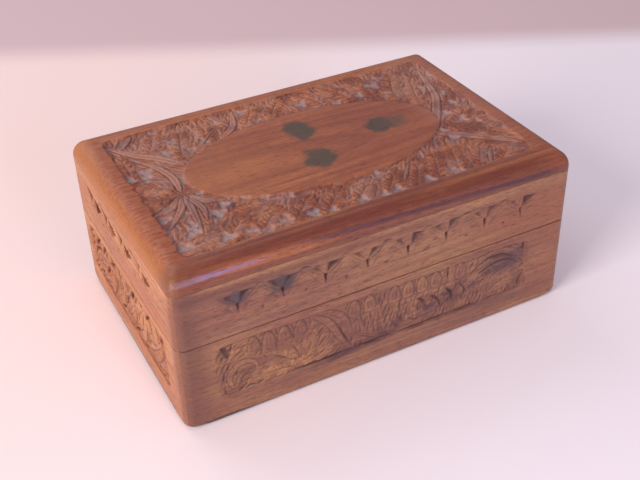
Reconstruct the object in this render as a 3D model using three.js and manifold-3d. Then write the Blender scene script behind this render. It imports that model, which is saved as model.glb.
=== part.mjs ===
// Small carved wooden keepsake box with a lid hinged along its back edge.
// Lengths are millimetres. X runs along the front, Y from the front to the back, Z up.
// The origin is the middle of the underside.

import * as THREE from "three";
import { mergeVertices } from "three/addons/utils/BufferGeometryUtils.js";
import Module from "manifold-3d";

// Driving sizes of the box
const boxLength = 152;
const boxDepth = 101;
const baseHeight = 34;
const lidFrameHeight = 21.5;
const topBoardThickness = 6.5;
const wallThickness = 8;
const cornerRadius = 3.5;
const topEdgeRadius = 6;
const bottomBoardThickness = 4;
const rebateWidth = 4;

// Clearance between pieces that are glued, screwed or turn inside one another
const fitGap = 0.3;

// Carved field of the top board, with the plain oval left standing in it
const fieldMargin = 9;
const fieldCornerRadius = 4;
const carvingDepth = 1.2;
const ovalLength = 99;
const ovalWidth = 52;
const leafMargin = 1.2;
const leafBulgePlace = 0.42;
const leafCurl = 0.33;

// Main leaves of the carved field: greatest width, then points of the middle line from stalk to tip,
// in percent of the field's half length and half depth.
// Blades are slim and taper early, and the broader fronds keep their width towards the tip.
const broadestBlade = 3.9;
const bladeSwelling = { fullness: 0.62, bluntness: 0.55 };
const frondSwelling = { fullness: 0.75, bluntness: 0.6 };
const topLeaves = [
  [3.0, [-79.4, -9.6], [-78.2, 14.5], [-82.7, 38.6], [-92.5, 63.9]],
  [3.6, [-67.8, 27.5], [-77.6, 49.2], [-88.1, 65.5], [-99.4, 90.6]],
  [5.0, [-81.5, -5.3], [-89.6, 6.7], [-100.3, 10.1]],
  [4.2, [-82.1, -12.0], [-90.4, -14.5], [-100.3, -11.1]],
  [3.6, [-81.2, -16.9], [-89.0, -28.9], [-101.0, -34.2]],
  [3.0, [-80.3, -17.8], [-86.0, -36.1], [-96.4, -57.3]],
  [2.8, [-79.1, -16.9], [-80.9, -43.4], [-83.9, -76.1]],
  [3.4, [-77.0, -19.3], [-72.2, -31.3], [-61.8, -39.0]],
  [2.6, [-77.9, -22.9], [-75.5, -41.0], [-77.6, -60.2]],
  [4.0, [-99.1, 20.7], [-95.8, 43.4], [-98.2, 69.9]],
  [5.4, [-101.0, -96.9], [-89.6, -84.8], [-77.0, -86.3]],
  [5.6, [-76.4, -100.2], [-69.6, -80.5], [-57.6, -69.9]],
  [4.6, [-67.2, -59.3], [-57.6, -53.0], [-47.2, -59.8]],
  [5.0, [-60.3, -100.2], [-51.9, -82.9], [-40.6, -68.9]],
  [5.4, [-43.3, -100.2], [-34.3, -82.4], [-22.1, -67.0]],
  [5.0, [-26.0, -100.2], [-17.3, -83.4], [-6.9, -66.0]],
  [5.0, [-8.7, -100.2], [0.3, -82.9], [10.1, -66.0]],
  [5.0, [8.1, -100.2], [16.4, -82.9], [26.0, -64.1]],
  [4.8, [25.4, -100.2], [33.4, -79.5], [40.3, -58.8]],
  [4.8, [38.8, -100.2], [45.4, -78.1], [53.1, -50.1]],
  [4.8, [51.3, -100.2], [57.9, -73.7], [65.4, -43.4]],
  [3.6, [64.2, -30.8], [78.2, 2.9], [88.1, 31.3], [97.0, 85.8]],
  [3.8, [64.8, -35.2], [77.6, -51.6], [98.8, -85.8]],
  [4.2, [70.7, -29.9], [83.6, -20.2], [99.7, 3.9]],
  [4.2, [72.8, -37.1], [85.7, -35.2], [100.3, -21.7]],
  [4.2, [80.0, -49.2], [89.9, -52.5], [100.3, -44.8]],
  [4.6, [63.6, -99.8], [72.5, -78.6], [81.5, -66.5]],
  [4.2, [77.0, -99.8], [85.1, -88.2], [90.4, -78.6]],
  [4.0, [86.0, 7.2], [93.1, 21.7], [101.0, 47.2]],
  [5.0, [75.2, 18.3], [79.1, 44.8], [89.0, 71.3]],
  [5.4, [66.6, 35.2], [70.1, 61.7], [83.0, 97.3]],
  [5.2, [54.9, 47.2], [57.3, 73.7], [48.7, 99.3]],
  [5.2, [42.4, 54.5], [40.6, 77.1], [30.4, 98.8]],
  [5.2, [26.3, 60.7], [23.0, 81.0], [12.8, 98.8]],
  [5.2, [-6.9, 63.6], [-0.9, 81.4], [9.9, 99.3]],
  [4.8, [-23.3, 61.2], [-17.0, 79.0], [-8.1, 99.3]],
  [3.2, [-41.2, 53.0], [-29.6, 68.9], [-22.4, 98.8]],
  [2.6, [-37.3, 98.8], [-33.4, 82.9], [-30.4, 70.4]],
  [5.2, [-55.5, 43.4], [-46.9, 63.6], [-42.7, 97.8]],
  [5.2, [-66.9, 38.1], [-61.8, 65.1], [-54.9, 99.3]],
  [5.2, [-81.2, 58.8], [-75.5, 75.7], [-69.6, 99.3]],
  [3.6, [-93.1, 79.5], [-87.8, 89.2], [-82.1, 99.3]],
];

// Carved panels of the base walls
const panelBottomMargin = 9.3;
const panelTopMargin = 3.3;
const panelSideMargin = 14.5;
const panelSideMarginOnEnds = 10.3;
const panelCornerRadius = 1.5;
const vineLeafPitch = 12;
const vineLeafLength = 9.2;
const vineLeafWidth = 4.6;
const upperLeafDegrees = 50;
const lowerLeafDegrees = -35;

// Row of chip-cut petals round the lid: two slanting chips over an upright nick
const petalPitch = 15.5;
const petalPitchOnEnds = 17;
const petalRowMargin = 18;
const petalRowDrop = 16;
const chipDepth = 1.6;
const slantChipWidth = 4.4;
const slantChipHeight = 2.9;
const slantChipDegrees = 35;
const slantChipOffset = 2.9;
const slantChipRise = 2.1;
const nickWidth = 1.3;
const nickHeight = 4.6;
const nickDrop = 2.2;

// Hinges: small brass butts let into the back edges
const hingeEndMargin = 20;
const hingeLength = 22;
const leafWidth = 5.8;
const leafThickness = 1;
const barrelRadius = 1.7;
const pinRadius = 0.7;
const knuckleCount = 3;
const barrelInset = 0.8;
const backBevelDegrees = 52;

// Screws: two in each leaf
const screwEndMargin = 4.5;
const screwLength = 7;
const screwShankRadius = 0.7;
const screwHeadRadius = 1.4;
const screwHeadDepth = 0.8;
const screwPointLength = 1.4;
const slotWidth = 0.45;
const slotDepth = 0.35;

// Facets on round shapes
const cornerFacets = 4;
const edgeFacets = 7;
const ovalFacets = 40;
const barrelFacets = 16;
const screwFacets = 12;
const leafFacets = 4;
const topLeafFacets = 8;

// Cutting tools run this far past the surface they cut
const overrun = 1;

const fieldLength = boxLength - 2 * fieldMargin;
const fieldDepth = boxDepth - 2 * fieldMargin;
const topBoardUnderside = baseHeight + lidFrameHeight;
const boxHeight = topBoardUnderside + topBoardThickness;
const hingeAxisY = boxDepth / 2 - barrelInset;

const topWood = woodMaterial(0x9a5636);
const frontWood = woodMaterial(0x86523f);
const endWood = woodMaterial(0xb87a58);
const bottomWood = woodMaterial(0x9c7452);
const hingeBrass = new THREE.MeshStandardMaterial({ color: 0xb8924a, roughness: 0.38, metalness: 1 });
const screwBrass = new THREE.MeshStandardMaterial({ color: 0xc9a25a, roughness: 0.32, metalness: 1 });

function woodMaterial(color) {
  return new THREE.MeshStandardMaterial({ color, roughness: 0.55, metalness: 0 });
}

// Solid joining and cutting

const solidLibrary = await Module();
solidLibrary.setup();

function toSolid(geometry) {
  const bare = geometry.clone();
  bare.deleteAttribute("normal");
  bare.deleteAttribute("uv");
  const merged = mergeVertices(bare);
  const mesh = new solidLibrary.Mesh({
    numProp: 3,
    vertProperties: new Float32Array(merged.attributes.position.array),
    triVerts: new Uint32Array(merged.index.array),
  });
  return new solidLibrary.Manifold(mesh);
}

function toGeometry(solid) {
  const mesh = solid.getMesh();
  const geometry = new THREE.BufferGeometry();
  geometry.setAttribute("position", new THREE.BufferAttribute(mesh.vertProperties, 3));
  geometry.setIndex(new THREE.BufferAttribute(mesh.triVerts, 1));
  geometry.computeVertexNormals();
  return geometry;
}

function joinAll(solids) {
  return solids.reduce((joined, solid) => joined.add(solid));
}

function cutAll(body, cutters) {
  return cutters.reduce((rest, cutter) => rest.subtract(cutter), body);
}

// Plain shapes

function boxBetween(low, high) {
  const size = high.map((value, i) => Math.abs(value - low[i]));
  const centre = high.map((value, i) => (value + low[i]) / 2);
  const geometry = new THREE.BoxGeometry(...size);
  geometry.translate(...centre);
  return toSolid(geometry);
}

function prism(shape, bottom, top, placement = new THREE.Matrix4()) {
  const geometry = new THREE.ExtrudeGeometry(shape, { depth: top - bottom, bevelEnabled: false });
  geometry.translate(0, 0, bottom);
  geometry.applyMatrix4(placement);
  return toSolid(geometry);
}

function rodAlongX(radius, from, to, y, z) {
  const geometry = new THREE.CylinderGeometry(radius, radius, to - from, barrelFacets);
  geometry.rotateZ(Math.PI / 2);
  geometry.translate((from + to) / 2, y, z);
  return toSolid(geometry);
}

function roundedRectangle(length, width, radius, facets) {
  const centreX = length / 2 - radius;
  const centreY = width / 2 - radius;
  const points = [];
  const quarterCentres = [[1, 1], [-1, 1], [-1, -1], [1, -1]];
  quarterCentres.forEach(([signX, signY], quarter) => {
    for (let step = 0; step <= facets; step += 1) {
      const angle = (quarter + step / facets) * Math.PI / 2;
      points.push(new THREE.Vector2(
        signX * centreX + radius * Math.cos(angle),
        signY * centreY + radius * Math.sin(angle),
      ));
    }
  });
  return new THREE.Shape(points);
}

function ellipseShape(length, width, facets) {
  const points = [];
  for (let step = 0; step < facets; step += 1) {
    const angle = step / facets * 2 * Math.PI;
    points.push(new THREE.Vector2(length / 2 * Math.cos(angle), width / 2 * Math.sin(angle)));
  }
  return new THREE.Shape(points);
}

// A placement that turns drawing axes into box axes: across, up the face, out of the face
function faceFrame(across, up, out, origin) {
  const vector = (values) => new THREE.Vector3(...values);
  const frame = new THREE.Matrix4().makeBasis(vector(across), vector(up), vector(out));
  return frame.setPosition(vector(origin));
}

// Drawings in these two stand upright and are pulled out along the box's length or depth
const alongLength = faceFrame([0, 1, 0], [0, 0, 1], [1, 0, 0], [0, 0, 0]);
const alongDepth = faceFrame([-1, 0, 0], [0, 0, 1], [0, 1, 0], [0, 0, 0]);

const sides = {
  front: {
    length: boxLength,
    frame: faceFrame([1, 0, 0], [0, 0, 1], [0, -1, 0], [0, -boxDepth / 2, 0]),
    plan: faceFrame([1, 0, 0], [0, 1, 0], [0, 0, 1], [0, -boxDepth / 2, 0]),
    panelMargin: panelSideMargin,
    pitch: petalPitch,
  },
  right: {
    length: boxDepth,
    frame: faceFrame([0, 1, 0], [0, 0, 1], [1, 0, 0], [boxLength / 2, 0, 0]),
    plan: faceFrame([0, 1, 0], [-1, 0, 0], [0, 0, 1], [boxLength / 2, 0, 0]),
    panelMargin: panelSideMarginOnEnds,
    pitch: petalPitchOnEnds,
  },
  back: {
    length: boxLength,
    frame: faceFrame([-1, 0, 0], [0, 0, 1], [0, 1, 0], [0, boxDepth / 2, 0]),
    plan: faceFrame([-1, 0, 0], [0, -1, 0], [0, 0, 1], [0, boxDepth / 2, 0]),
    panelMargin: panelSideMargin,
    pitch: petalPitch,
  },
  left: {
    length: boxDepth,
    frame: faceFrame([0, -1, 0], [0, 0, 1], [-1, 0, 0], [-boxLength / 2, 0, 0]),
    plan: faceFrame([0, -1, 0], [1, 0, 0], [0, 0, 1], [-boxLength / 2, 0, 0]),
    panelMargin: panelSideMarginOnEnds,
    pitch: petalPitchOnEnds,
  },
};

// Walls: mitred boards whose outer corners are rounded. The plan of one has its outer face on the
// drawing's X axis, and its mitres stand back from their neighbours by half the glue gap each.

function mitredPlan(length) {
  const setBack = fitGap / 2;
  const arcTurn = Math.PI / 4 - Math.asin(setBack / cornerRadius);
  const arcCentre = length / 2 - cornerRadius;
  const rightHalf = [];
  for (let step = 0; step <= cornerFacets; step += 1) {
    const angle = arcTurn * step / cornerFacets;
    rightHalf.push([
      arcCentre + cornerRadius * Math.sin(angle),
      cornerRadius - cornerRadius * Math.cos(angle),
    ]);
  }
  rightHalf.push([length / 2 - wallThickness - setBack * Math.SQRT2, wallThickness]);
  const leftHalf = rightHalf.map(([x, y]) => [-x, y]).reverse();
  return new THREE.Shape([...rightHalf, ...leftHalf].map(([x, y]) => new THREE.Vector2(x, y)));
}

function plainWall(side, bottom, top) {
  return prism(mitredPlan(side.length), bottom, top, side.plan);
}

// A pointed leaf growing from (x, y), widest before its middle and curling towards its tip
function leafShape(x, y, degrees, length, width, flipX, flipY) {
  const curve = new THREE.Shape();
  curve.moveTo(0, 0);
  curve.quadraticCurveTo(length * leafBulgePlace, width, length, width * leafCurl);
  curve.quadraticCurveTo(length * leafBulgePlace, -width, 0, 0);
  const turn = THREE.MathUtils.degToRad(degrees);
  const points = curve.getPoints(leafFacets).slice(0, -1).map((point) => {
    point.rotateAround(new THREE.Vector2(0, 0), turn);
    return new THREE.Vector2((point.x + x) * flipX, (point.y + y) * flipY);
  });
  return new THREE.Shape(points);
}

// A sunk panel with a wavy vine of leaves left standing in it
function panelCutter(side) {
  const width = side.length - 2 * side.panelMargin;
  const height = baseHeight - panelBottomMargin - panelTopMargin;
  const middle = panelBottomMargin + height / 2;
  const placement = side.frame.clone().multiply(new THREE.Matrix4().makeTranslation(0, middle, 0));
  const ground = prism(
    roundedRectangle(width, height, panelCornerRadius, cornerFacets), -carvingDepth, overrun, placement);
  const pairs = Math.floor((width - vineLeafLength - 2 * leafMargin) / vineLeafPitch);
  const reach = Math.min(vineLeafLength, height / 2 - leafMargin);
  const leaves = [];
  for (let i = 0; i < pairs; i += 1) {
    const x = (i - (pairs - 1) / 2) * vineLeafPitch - vineLeafLength / 2;
    const rising = i % 2 === 0 ? 1 : -1;
    leaves.push(leafShape(x, 0, upperLeafDegrees, reach, vineLeafWidth, 1, rising));
    leaves.push(leafShape(x + vineLeafPitch / 3, 0, lowerLeafDegrees, reach, vineLeafWidth, 1, rising));
  }
  const standing = leaves.map((leaf) => prism(leaf, -carvingDepth - overrun, overrun * 2, placement));
  return cutAll(ground, standing);
}

// One chip: a three-sided hollow, deepest in its middle, its point turned by the given angle
function chipCutter(x, y, width, height, degrees, placement) {
  const fullDepth = chipDepth + overrun;
  const spread = fullDepth / chipDepth;
  const sideOfUnitTriangle = Math.sqrt(3);
  const heightOfUnitTriangle = 1.5;
  const pyramid = new THREE.ConeGeometry(1, fullDepth, 3, 1);
  pyramid.rotateX(-Math.PI / 2);
  pyramid.scale(width / sideOfUnitTriangle * spread, height / heightOfUnitTriangle * spread, 1);
  pyramid.rotateZ(THREE.MathUtils.degToRad(degrees));
  pyramid.translate(x, y, (overrun - chipDepth) / 2);
  pyramid.applyMatrix4(placement);
  return toSolid(pyramid);
}

function petalRowCutters(side) {
  const height = boxHeight - petalRowDrop;
  const petals = Math.floor((side.length - 2 * petalRowMargin) / side.pitch) + 1;
  const cutters = [];
  for (let i = 0; i < petals; i += 1) {
    const x = (i - (petals - 1) / 2) * side.pitch;
    const placement = side.frame.clone().multiply(new THREE.Matrix4().makeTranslation(x, height, 0));
    for (const hand of [-1, 1]) {
      cutters.push(chipCutter(hand * slantChipOffset, slantChipRise,
        slantChipWidth, slantChipHeight, -hand * slantChipDegrees, placement));
    }
    const pointingDown = 180;
    cutters.push(chipCutter(0, -nickDrop, nickWidth, nickHeight, pointingDown, placement));
  }
  return cutters;
}

// Hinge fit: what the back walls lose to the leaves, barrels, screws and bevelled edge

function hingeCentres() {
  const centre = boxLength / 2 - hingeEndMargin - hingeLength / 2;
  return [-centre, centre];
}

// Screws of one leaf, measured from the middle of the hinge pin
function screwPlaces() {
  const y = -(leafWidth + barrelRadius + fitGap) / 2;
  const halfSpacing = hingeLength / 2 - screwEndMargin;
  return [[-halfSpacing, y], [halfSpacing, y]];
}

// In this and what follows, the direction is -1 for the base, below the parting line, and 1 for the lid

// The bevel behind the hinge pin lets the lid turn until its bevel meets the base's
function backBevel(direction) {
  const width = barrelInset + overrun;
  const height = Math.tan(THREE.MathUtils.degToRad(backBevelDegrees)) * width;
  const section = new THREE.Shape([
    new THREE.Vector2(hingeAxisY, baseHeight),
    new THREE.Vector2(hingeAxisY + width, baseHeight - direction * overrun),
    new THREE.Vector2(hingeAxisY + width, baseHeight + direction * height),
  ]);
  return prism(section, -boxLength / 2 - overrun, boxLength / 2 + overrun, alongLength);
}

function hingeCutters(direction) {
  const cutters = [];
  const pocketDepth = fitGap / 2 + leafThickness + fitGap;
  for (const x of hingeCentres()) {
    const half = hingeLength / 2 + fitGap;
    cutters.push(boxBetween(
      [x - half, hingeAxisY - leafWidth - fitGap, baseHeight - direction * overrun],
      [x + half, hingeAxisY, baseHeight + direction * pocketDepth],
    ));
    cutters.push(rodAlongX(barrelRadius + fitGap, x - half, x + half, hingeAxisY, baseHeight));
    for (const [screwX, screwY] of screwPlaces()) {
      const hole = new THREE.CylinderGeometry(
        screwShankRadius + fitGap, screwShankRadius + fitGap, screwLength + fitGap, screwFacets);
      hole.rotateX(Math.PI / 2);
      const middle = baseHeight + direction * (fitGap / 2 + (screwLength + fitGap) / 2);
      hole.translate(x + screwX, hingeAxisY + screwY, middle);
      cutters.push(toSolid(hole));
    }
  }
  return cutters;
}

// Base and lid walls

function bottomRebate() {
  const halfLength = boxLength / 2 - wallThickness + rebateWidth;
  const halfDepth = boxDepth / 2 - wallThickness + rebateWidth;
  return boxBetween([-halfLength, -halfDepth, -overrun], [halfLength, halfDepth, bottomBoardThickness]);
}

function baseWall(name) {
  const side = sides[name];
  const body = plainWall(side, 0, baseHeight);
  const cutters = [bottomRebate(), panelCutter(side), backBevel(-1)];
  if (name === "back") cutters.push(...hingeCutters(-1));
  return toGeometry(cutAll(body, cutters));
}

function lidWall(name) {
  const side = sides[name];
  const body = plainWall(side, baseHeight, topBoardUnderside);
  const cutters = [...petalRowCutters(side), backBevel(1)];
  if (name === "back") cutters.push(...hingeCutters(1));
  return toGeometry(cutAll(body, cutters));
}

function bottomBoard() {
  const length = boxLength - 2 * (wallThickness - rebateWidth + fitGap);
  const depth = boxDepth - 2 * (wallThickness - rebateWidth + fitGap);
  const board = new THREE.BoxGeometry(length, depth, bottomBoardThickness);
  board.translate(0, 0, bottomBoardThickness / 2);
  return board;
}

// Top board: rounded over on all four upper edges, with a carved field round a plain oval

function roundedOverProfile(width) {
  const half = width / 2;
  const shoulder = topBoardThickness - topEdgeRadius;
  const points = [new THREE.Vector2(-half, 0), new THREE.Vector2(half, 0)];
  for (let step = 0; step <= edgeFacets; step += 1) {
    const angle = step / edgeFacets * Math.PI / 2;
    points.push(new THREE.Vector2(
      half - topEdgeRadius + topEdgeRadius * Math.cos(angle),
      shoulder + topEdgeRadius * Math.sin(angle),
    ));
  }
  const leftHalf = points.slice(2).map((point) => new THREE.Vector2(-point.x, point.y)).reverse();
  return new THREE.Shape([...points, ...leftHalf]);
}

// A leaf whose edges swell and narrow on both sides of its middle line
function leafAlong([width, ...points]) {
  const middle = new THREE.SplineCurve(points.map(
    ([x, y]) => new THREE.Vector2(x / 100 * fieldLength / 2, y / 100 * fieldDepth / 2)));
  const { fullness, bluntness } = width > broadestBlade ? frondSwelling : bladeSwelling;
  const leftEdge = [];
  const rightEdge = [];
  for (let step = 1; step < topLeafFacets; step += 1) {
    const share = (1 - Math.cos(step / topLeafFacets * Math.PI)) / 2;
    const half = width / 2 * Math.sin(Math.PI * share ** fullness) ** bluntness;
    const along = middle.getTangentAt(share);
    const aside = new THREE.Vector2(-along.y, along.x).multiplyScalar(half);
    leftEdge.push(middle.getPointAt(share).add(aside));
    rightEdge.push(middle.getPointAt(share).sub(aside));
  }
  return new THREE.Shape(
    [middle.getPointAt(0), ...rightEdge, middle.getPointAt(1), ...leftEdge.reverse()]);
}

function topBoard() {
  const plan = prism(
    roundedRectangle(boxLength, boxDepth, cornerRadius, 2 * cornerFacets), 0, topBoardThickness);
  const depthProfile = prism(roundedOverProfile(boxDepth), -boxLength, boxLength, alongLength);
  const lengthProfile = prism(roundedOverProfile(boxLength), -boxDepth, boxDepth, alongDepth);
  const board = plan.intersect(depthProfile).intersect(lengthProfile);

  const floor = topBoardThickness - carvingDepth;
  const field = prism(
    roundedRectangle(fieldLength, fieldDepth, fieldCornerRadius, cornerFacets),
    floor, topBoardThickness + overrun);
  const oval = ellipseShape(ovalLength, ovalWidth, ovalFacets);
  const standing = [oval, ...topLeaves.map(leafAlong)].map(
    (shape) => prism(shape, floor - overrun, topBoardThickness + overrun * 2));
  return toGeometry(board.subtract(cutAll(field, standing)));
}

// Hinge pieces, drawn round the pin: X along the pin, the leaves reaching towards -Y

function knuckleSpans(owner) {
  const pitch = hingeLength / knuckleCount;
  const spans = [];
  for (let i = 0; i < knuckleCount; i += 1) {
    const belongsToBase = i % 2 === 0;
    if (belongsToBase === (owner === "base")) {
      const from = -hingeLength / 2 + i * pitch;
      spans.push([from + fitGap / 2, from + pitch - fitGap / 2]);
    }
  }
  return spans;
}

function hingeLeaf(owner) {
  const direction = owner === "base" ? -1 : 1;
  const other = owner === "base" ? "lid" : "base";
  const nearFace = direction * fitGap / 2;
  const plate = boxBetween(
    [-hingeLength / 2, -leafWidth, nearFace],
    [hingeLength / 2, 0, nearFace + direction * leafThickness],
  );
  const roomForOther = knuckleSpans(other).map(([from, to]) => rodAlongX(
    barrelRadius + fitGap, from - fitGap, to + fitGap, 0, 0));
  const knuckles = knuckleSpans(owner).map(([from, to]) => rodAlongX(barrelRadius, from, to, 0, 0));
  const leaf = joinAll([cutAll(plate, roomForOther), ...knuckles]);

  const cutters = [rodAlongX(pinRadius + fitGap, -hingeLength, hingeLength, 0, 0)];
  for (const [x, y] of screwPlaces()) {
    cutters.push(countersink(x, y, nearFace, direction));
  }
  return toGeometry(cutAll(leaf, cutters));
}

// A screw hole whose mouth opens at the leaf's near face, the face that shows with the lid up
function countersink(x, y, nearFace, direction) {
  const shank = screwShankRadius + fitGap;
  const head = screwHeadRadius + fitGap;
  const profile = [
    new THREE.Vector2(0, -overrun * 2),
    new THREE.Vector2(shank, -overrun * 2),
    new THREE.Vector2(shank, -screwHeadDepth),
    new THREE.Vector2(head, 0),
    new THREE.Vector2(head, overrun),
    new THREE.Vector2(0, overrun),
  ];
  return toSolid(lathePlaced(profile, x, y, nearFace, direction));
}

// A turned shape whose top end faces the parting line
function lathePlaced(profile, x, y, z, direction) {
  const geometry = new THREE.LatheGeometry(profile, screwFacets);
  geometry.rotateX(direction > 0 ? -Math.PI / 2 : Math.PI / 2);
  geometry.translate(x, y, z);
  return geometry;
}

function screw(direction) {
  const profile = [
    new THREE.Vector2(0, -screwLength),
    new THREE.Vector2(screwShankRadius, -screwLength + screwPointLength),
    new THREE.Vector2(screwShankRadius, -screwHeadDepth),
    new THREE.Vector2(screwHeadRadius, 0),
    new THREE.Vector2(0, 0),
  ];
  const body = toSolid(lathePlaced(profile, 0, 0, 0, direction));
  const reach = screwHeadRadius + overrun;
  const slot = boxBetween(
    [-reach, -slotWidth / 2, direction * slotDepth],
    [reach, slotWidth / 2, -direction * overrun],
  );
  return toGeometry(body.subtract(slot));
}

function hingePin() {
  const pin = new THREE.CylinderGeometry(pinRadius, pinRadius, hingeLength, barrelFacets);
  pin.rotateZ(Math.PI / 2);
  return pin;
}

// Assembly

function namedMesh(name, geometry, material) {
  const mesh = new THREE.Mesh(geometry, material);
  mesh.name = name;
  return mesh;
}

const wallMaterials = { front: frontWood, right: endWood, back: frontWood, left: endWood };

function buildBase() {
  const base = new THREE.Group();
  for (const name of Object.keys(sides)) {
    base.add(namedMesh(`base_${name}_wall`, baseWall(name), wallMaterials[name]));
  }
  base.add(namedMesh("bottom_board", bottomBoard(), bottomWood));
  return base;
}

function buildLid() {
  const lid = new THREE.Group();
  for (const name of Object.keys(sides)) {
    lid.add(namedMesh(`lid_${name}_wall`, lidWall(name), wallMaterials[name]));
  }
  const board = namedMesh("lid_top_board", topBoard(), topWood);
  board.position.z = topBoardUnderside;
  lid.add(board);
  return lid;
}

function buildHinge(handName, centreX) {
  const hinge = new THREE.Group();
  hinge.position.set(centreX, hingeAxisY, baseHeight);
  hinge.add(namedMesh(`hinge_${handName}_pin`, hingePin(), hingeBrass));
  for (const [owner, direction] of [["base", -1], ["lid", 1]]) {
    hinge.add(namedMesh(`hinge_${handName}_${owner}_leaf`, hingeLeaf(owner), hingeBrass));
    screwPlaces().forEach(([x, y], index) => {
      const name = `hinge_${handName}_${owner}_screw_${index + 1}`;
      const piece = namedMesh(name, screw(direction), screwBrass);
      piece.position.set(x, y, direction * fitGap / 2);
      hinge.add(piece);
    });
  }
  return hinge;
}

const carvedBox = new THREE.Group();
carvedBox.add(buildBase());
carvedBox.add(buildLid());
hingeCentres().forEach((x, index) => carvedBox.add(buildHinge(index === 0 ? "left" : "right", x)));

export default carvedBox;
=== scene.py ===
"""Looks of a small carved wooden box with a hinged lid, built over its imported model.

Sizes are in millimetres, as in the workshop, and become metres when a mesh is placed.
The box rests on z = 0 with its front towards -Y, its hinges along the back and its
length along X.
"""

import logging
import math
from collections.abc import Callable, Sequence
from dataclasses import dataclass, field
from enum import Enum

import bmesh
import bpy
import numpy as np
from mathutils import Matrix, Vector

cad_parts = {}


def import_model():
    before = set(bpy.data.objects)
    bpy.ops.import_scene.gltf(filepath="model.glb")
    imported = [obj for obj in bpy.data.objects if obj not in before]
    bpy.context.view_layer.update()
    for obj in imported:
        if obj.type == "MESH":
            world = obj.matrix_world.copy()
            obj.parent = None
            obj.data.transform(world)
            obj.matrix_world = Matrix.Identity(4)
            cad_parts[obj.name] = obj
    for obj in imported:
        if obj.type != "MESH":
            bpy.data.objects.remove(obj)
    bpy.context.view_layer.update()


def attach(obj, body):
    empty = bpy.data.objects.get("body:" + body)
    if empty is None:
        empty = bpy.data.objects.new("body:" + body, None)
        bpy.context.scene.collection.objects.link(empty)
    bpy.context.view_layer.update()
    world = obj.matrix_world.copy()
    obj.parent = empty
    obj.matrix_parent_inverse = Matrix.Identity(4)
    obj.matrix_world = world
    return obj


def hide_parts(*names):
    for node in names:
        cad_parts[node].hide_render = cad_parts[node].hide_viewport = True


LOG = logging.getLogger("carved_box")
MM = 0.001
TO_MM = (1000.0,) * 3
WOOD_CREASE = 52.0
BRASS_CREASE = 30.0

Colour = tuple[float, float, float, float]
Point = tuple[float, float] | np.ndarray
Line = Sequence[Point]
Place = tuple[float, float, float]
Window = tuple[slice, slice]
Piece = bpy.types.Object
Material = bpy.types.Material
Shape = bmesh.types.BMesh


class Side(Enum):
    """The sides of the box, each with the turn in degrees that takes the front there."""

    FRONT = 0
    RIGHT = 90
    BACK = 180
    LEFT = -90

    @property
    def is_end(self) -> bool:
        """Whether this is one of the two short sides."""
        return self in (Side.RIGHT, Side.LEFT)


class Level(Enum):
    """The two frames that the box opens into, each named as its body."""

    BASE = "base"
    LID = "lid"


class Grain(Enum):
    """Which way the grain of a board runs, as the turn that brings it onto X."""

    ALONG_X = 0.0
    ALONG_Y = -90.0


def tone(red: int, green: int, blue: int) -> Colour:
    """Gives the shader's linear colour for one that is named as a screen shows it.

    Args:
        red: Red part from 0 to 255.
        green: Green part from 0 to 255.
        blue: Blue part from 0 to 255.

    Returns:
        The linear colour with full alpha.
    """
    parts = []
    for part in (red, green, blue):
        share = part / 255
        parts.append(share / 12.92 if share <= 0.04045 else ((share + 0.055) / 1.055) ** 2.4)
    return (parts[0], parts[1], parts[2], 1.0)


def smooth_step(low: float, high: float, value: np.ndarray) -> np.ndarray:
    """Rises smoothly from 0 where the value is at most low to 1 where it is at least high.

    Args:
        low: Value at which the result is still 0.
        high: Value from which the result is 1.
        value: Numbers to judge.

    Returns:
        Numbers from 0 to 1 in the shape of value.
    """
    share = np.clip((value - low) / (high - low), 0.0, 1.0)
    return share * share * (3.0 - 2.0 * share)


def curve_through(points: Line, spacing: float = 0.3) -> np.ndarray:
    """Draws a smooth line through some points.

    Args:
        points: Two or more points, in millimetres.
        spacing: Distance between the samples of the line.

    Returns:
        Evenly spaced points of the line, one per row.
    """
    anchors = np.array(points, float)
    first = 2 * anchors[0] - anchors[1]
    last = 2 * anchors[-1] - anchors[-2]
    padded = np.vstack([first, anchors, last])
    share = np.linspace(0.0, 1.0, 12, endpoint=False)[:, None]
    pieces = []
    for before, start, end, after in zip(padded, padded[1:], padded[2:], padded[3:]):
        pieces.append(0.5 * (
            2 * start + (end - before) * share
            + (2 * before - 5 * start + 4 * end - after) * share ** 2
            + (3 * start - before - 3 * end + after) * share ** 3))
    line = np.vstack([*pieces, anchors[-1:]])
    travelled = np.r_[0.0, np.cumsum(np.linalg.norm(np.diff(line, axis=0), axis=1))]
    count = max(5, int(travelled[-1] / spacing) + 1)
    even = np.linspace(0.0, travelled[-1], count)
    return np.column_stack([np.interp(even, travelled, line[:, axis]) for axis in (0, 1)])


def headings(line: np.ndarray) -> np.ndarray:
    """Gives the unit direction of a line at each of its points."""
    change = np.gradient(line, axis=0)
    return change / np.linalg.norm(change, axis=1, keepdims=True)


def leftwards(line: np.ndarray) -> np.ndarray:
    """Gives the unit direction to the left of a line at each of its points."""
    heading = headings(line)
    return np.column_stack([-heading[:, 1], heading[:, 0]])


def bowed(start: Point, end: Point, bend: float) -> list[Point]:
    """Bends the straight way from start to end sideways.

    Args:
        start: First point.
        end: Last point.
        bend: Sideways move of the middle, as a share of the length, to the left if positive.

    Returns:
        Start, middle and end.
    """
    across = (end[0] - start[0], end[1] - start[1])
    middle = (
        (start[0] + end[0]) / 2 - across[1] * bend,
        (start[1] + end[1]) / 2 + across[0] * bend)
    return [start, middle, end]


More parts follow.
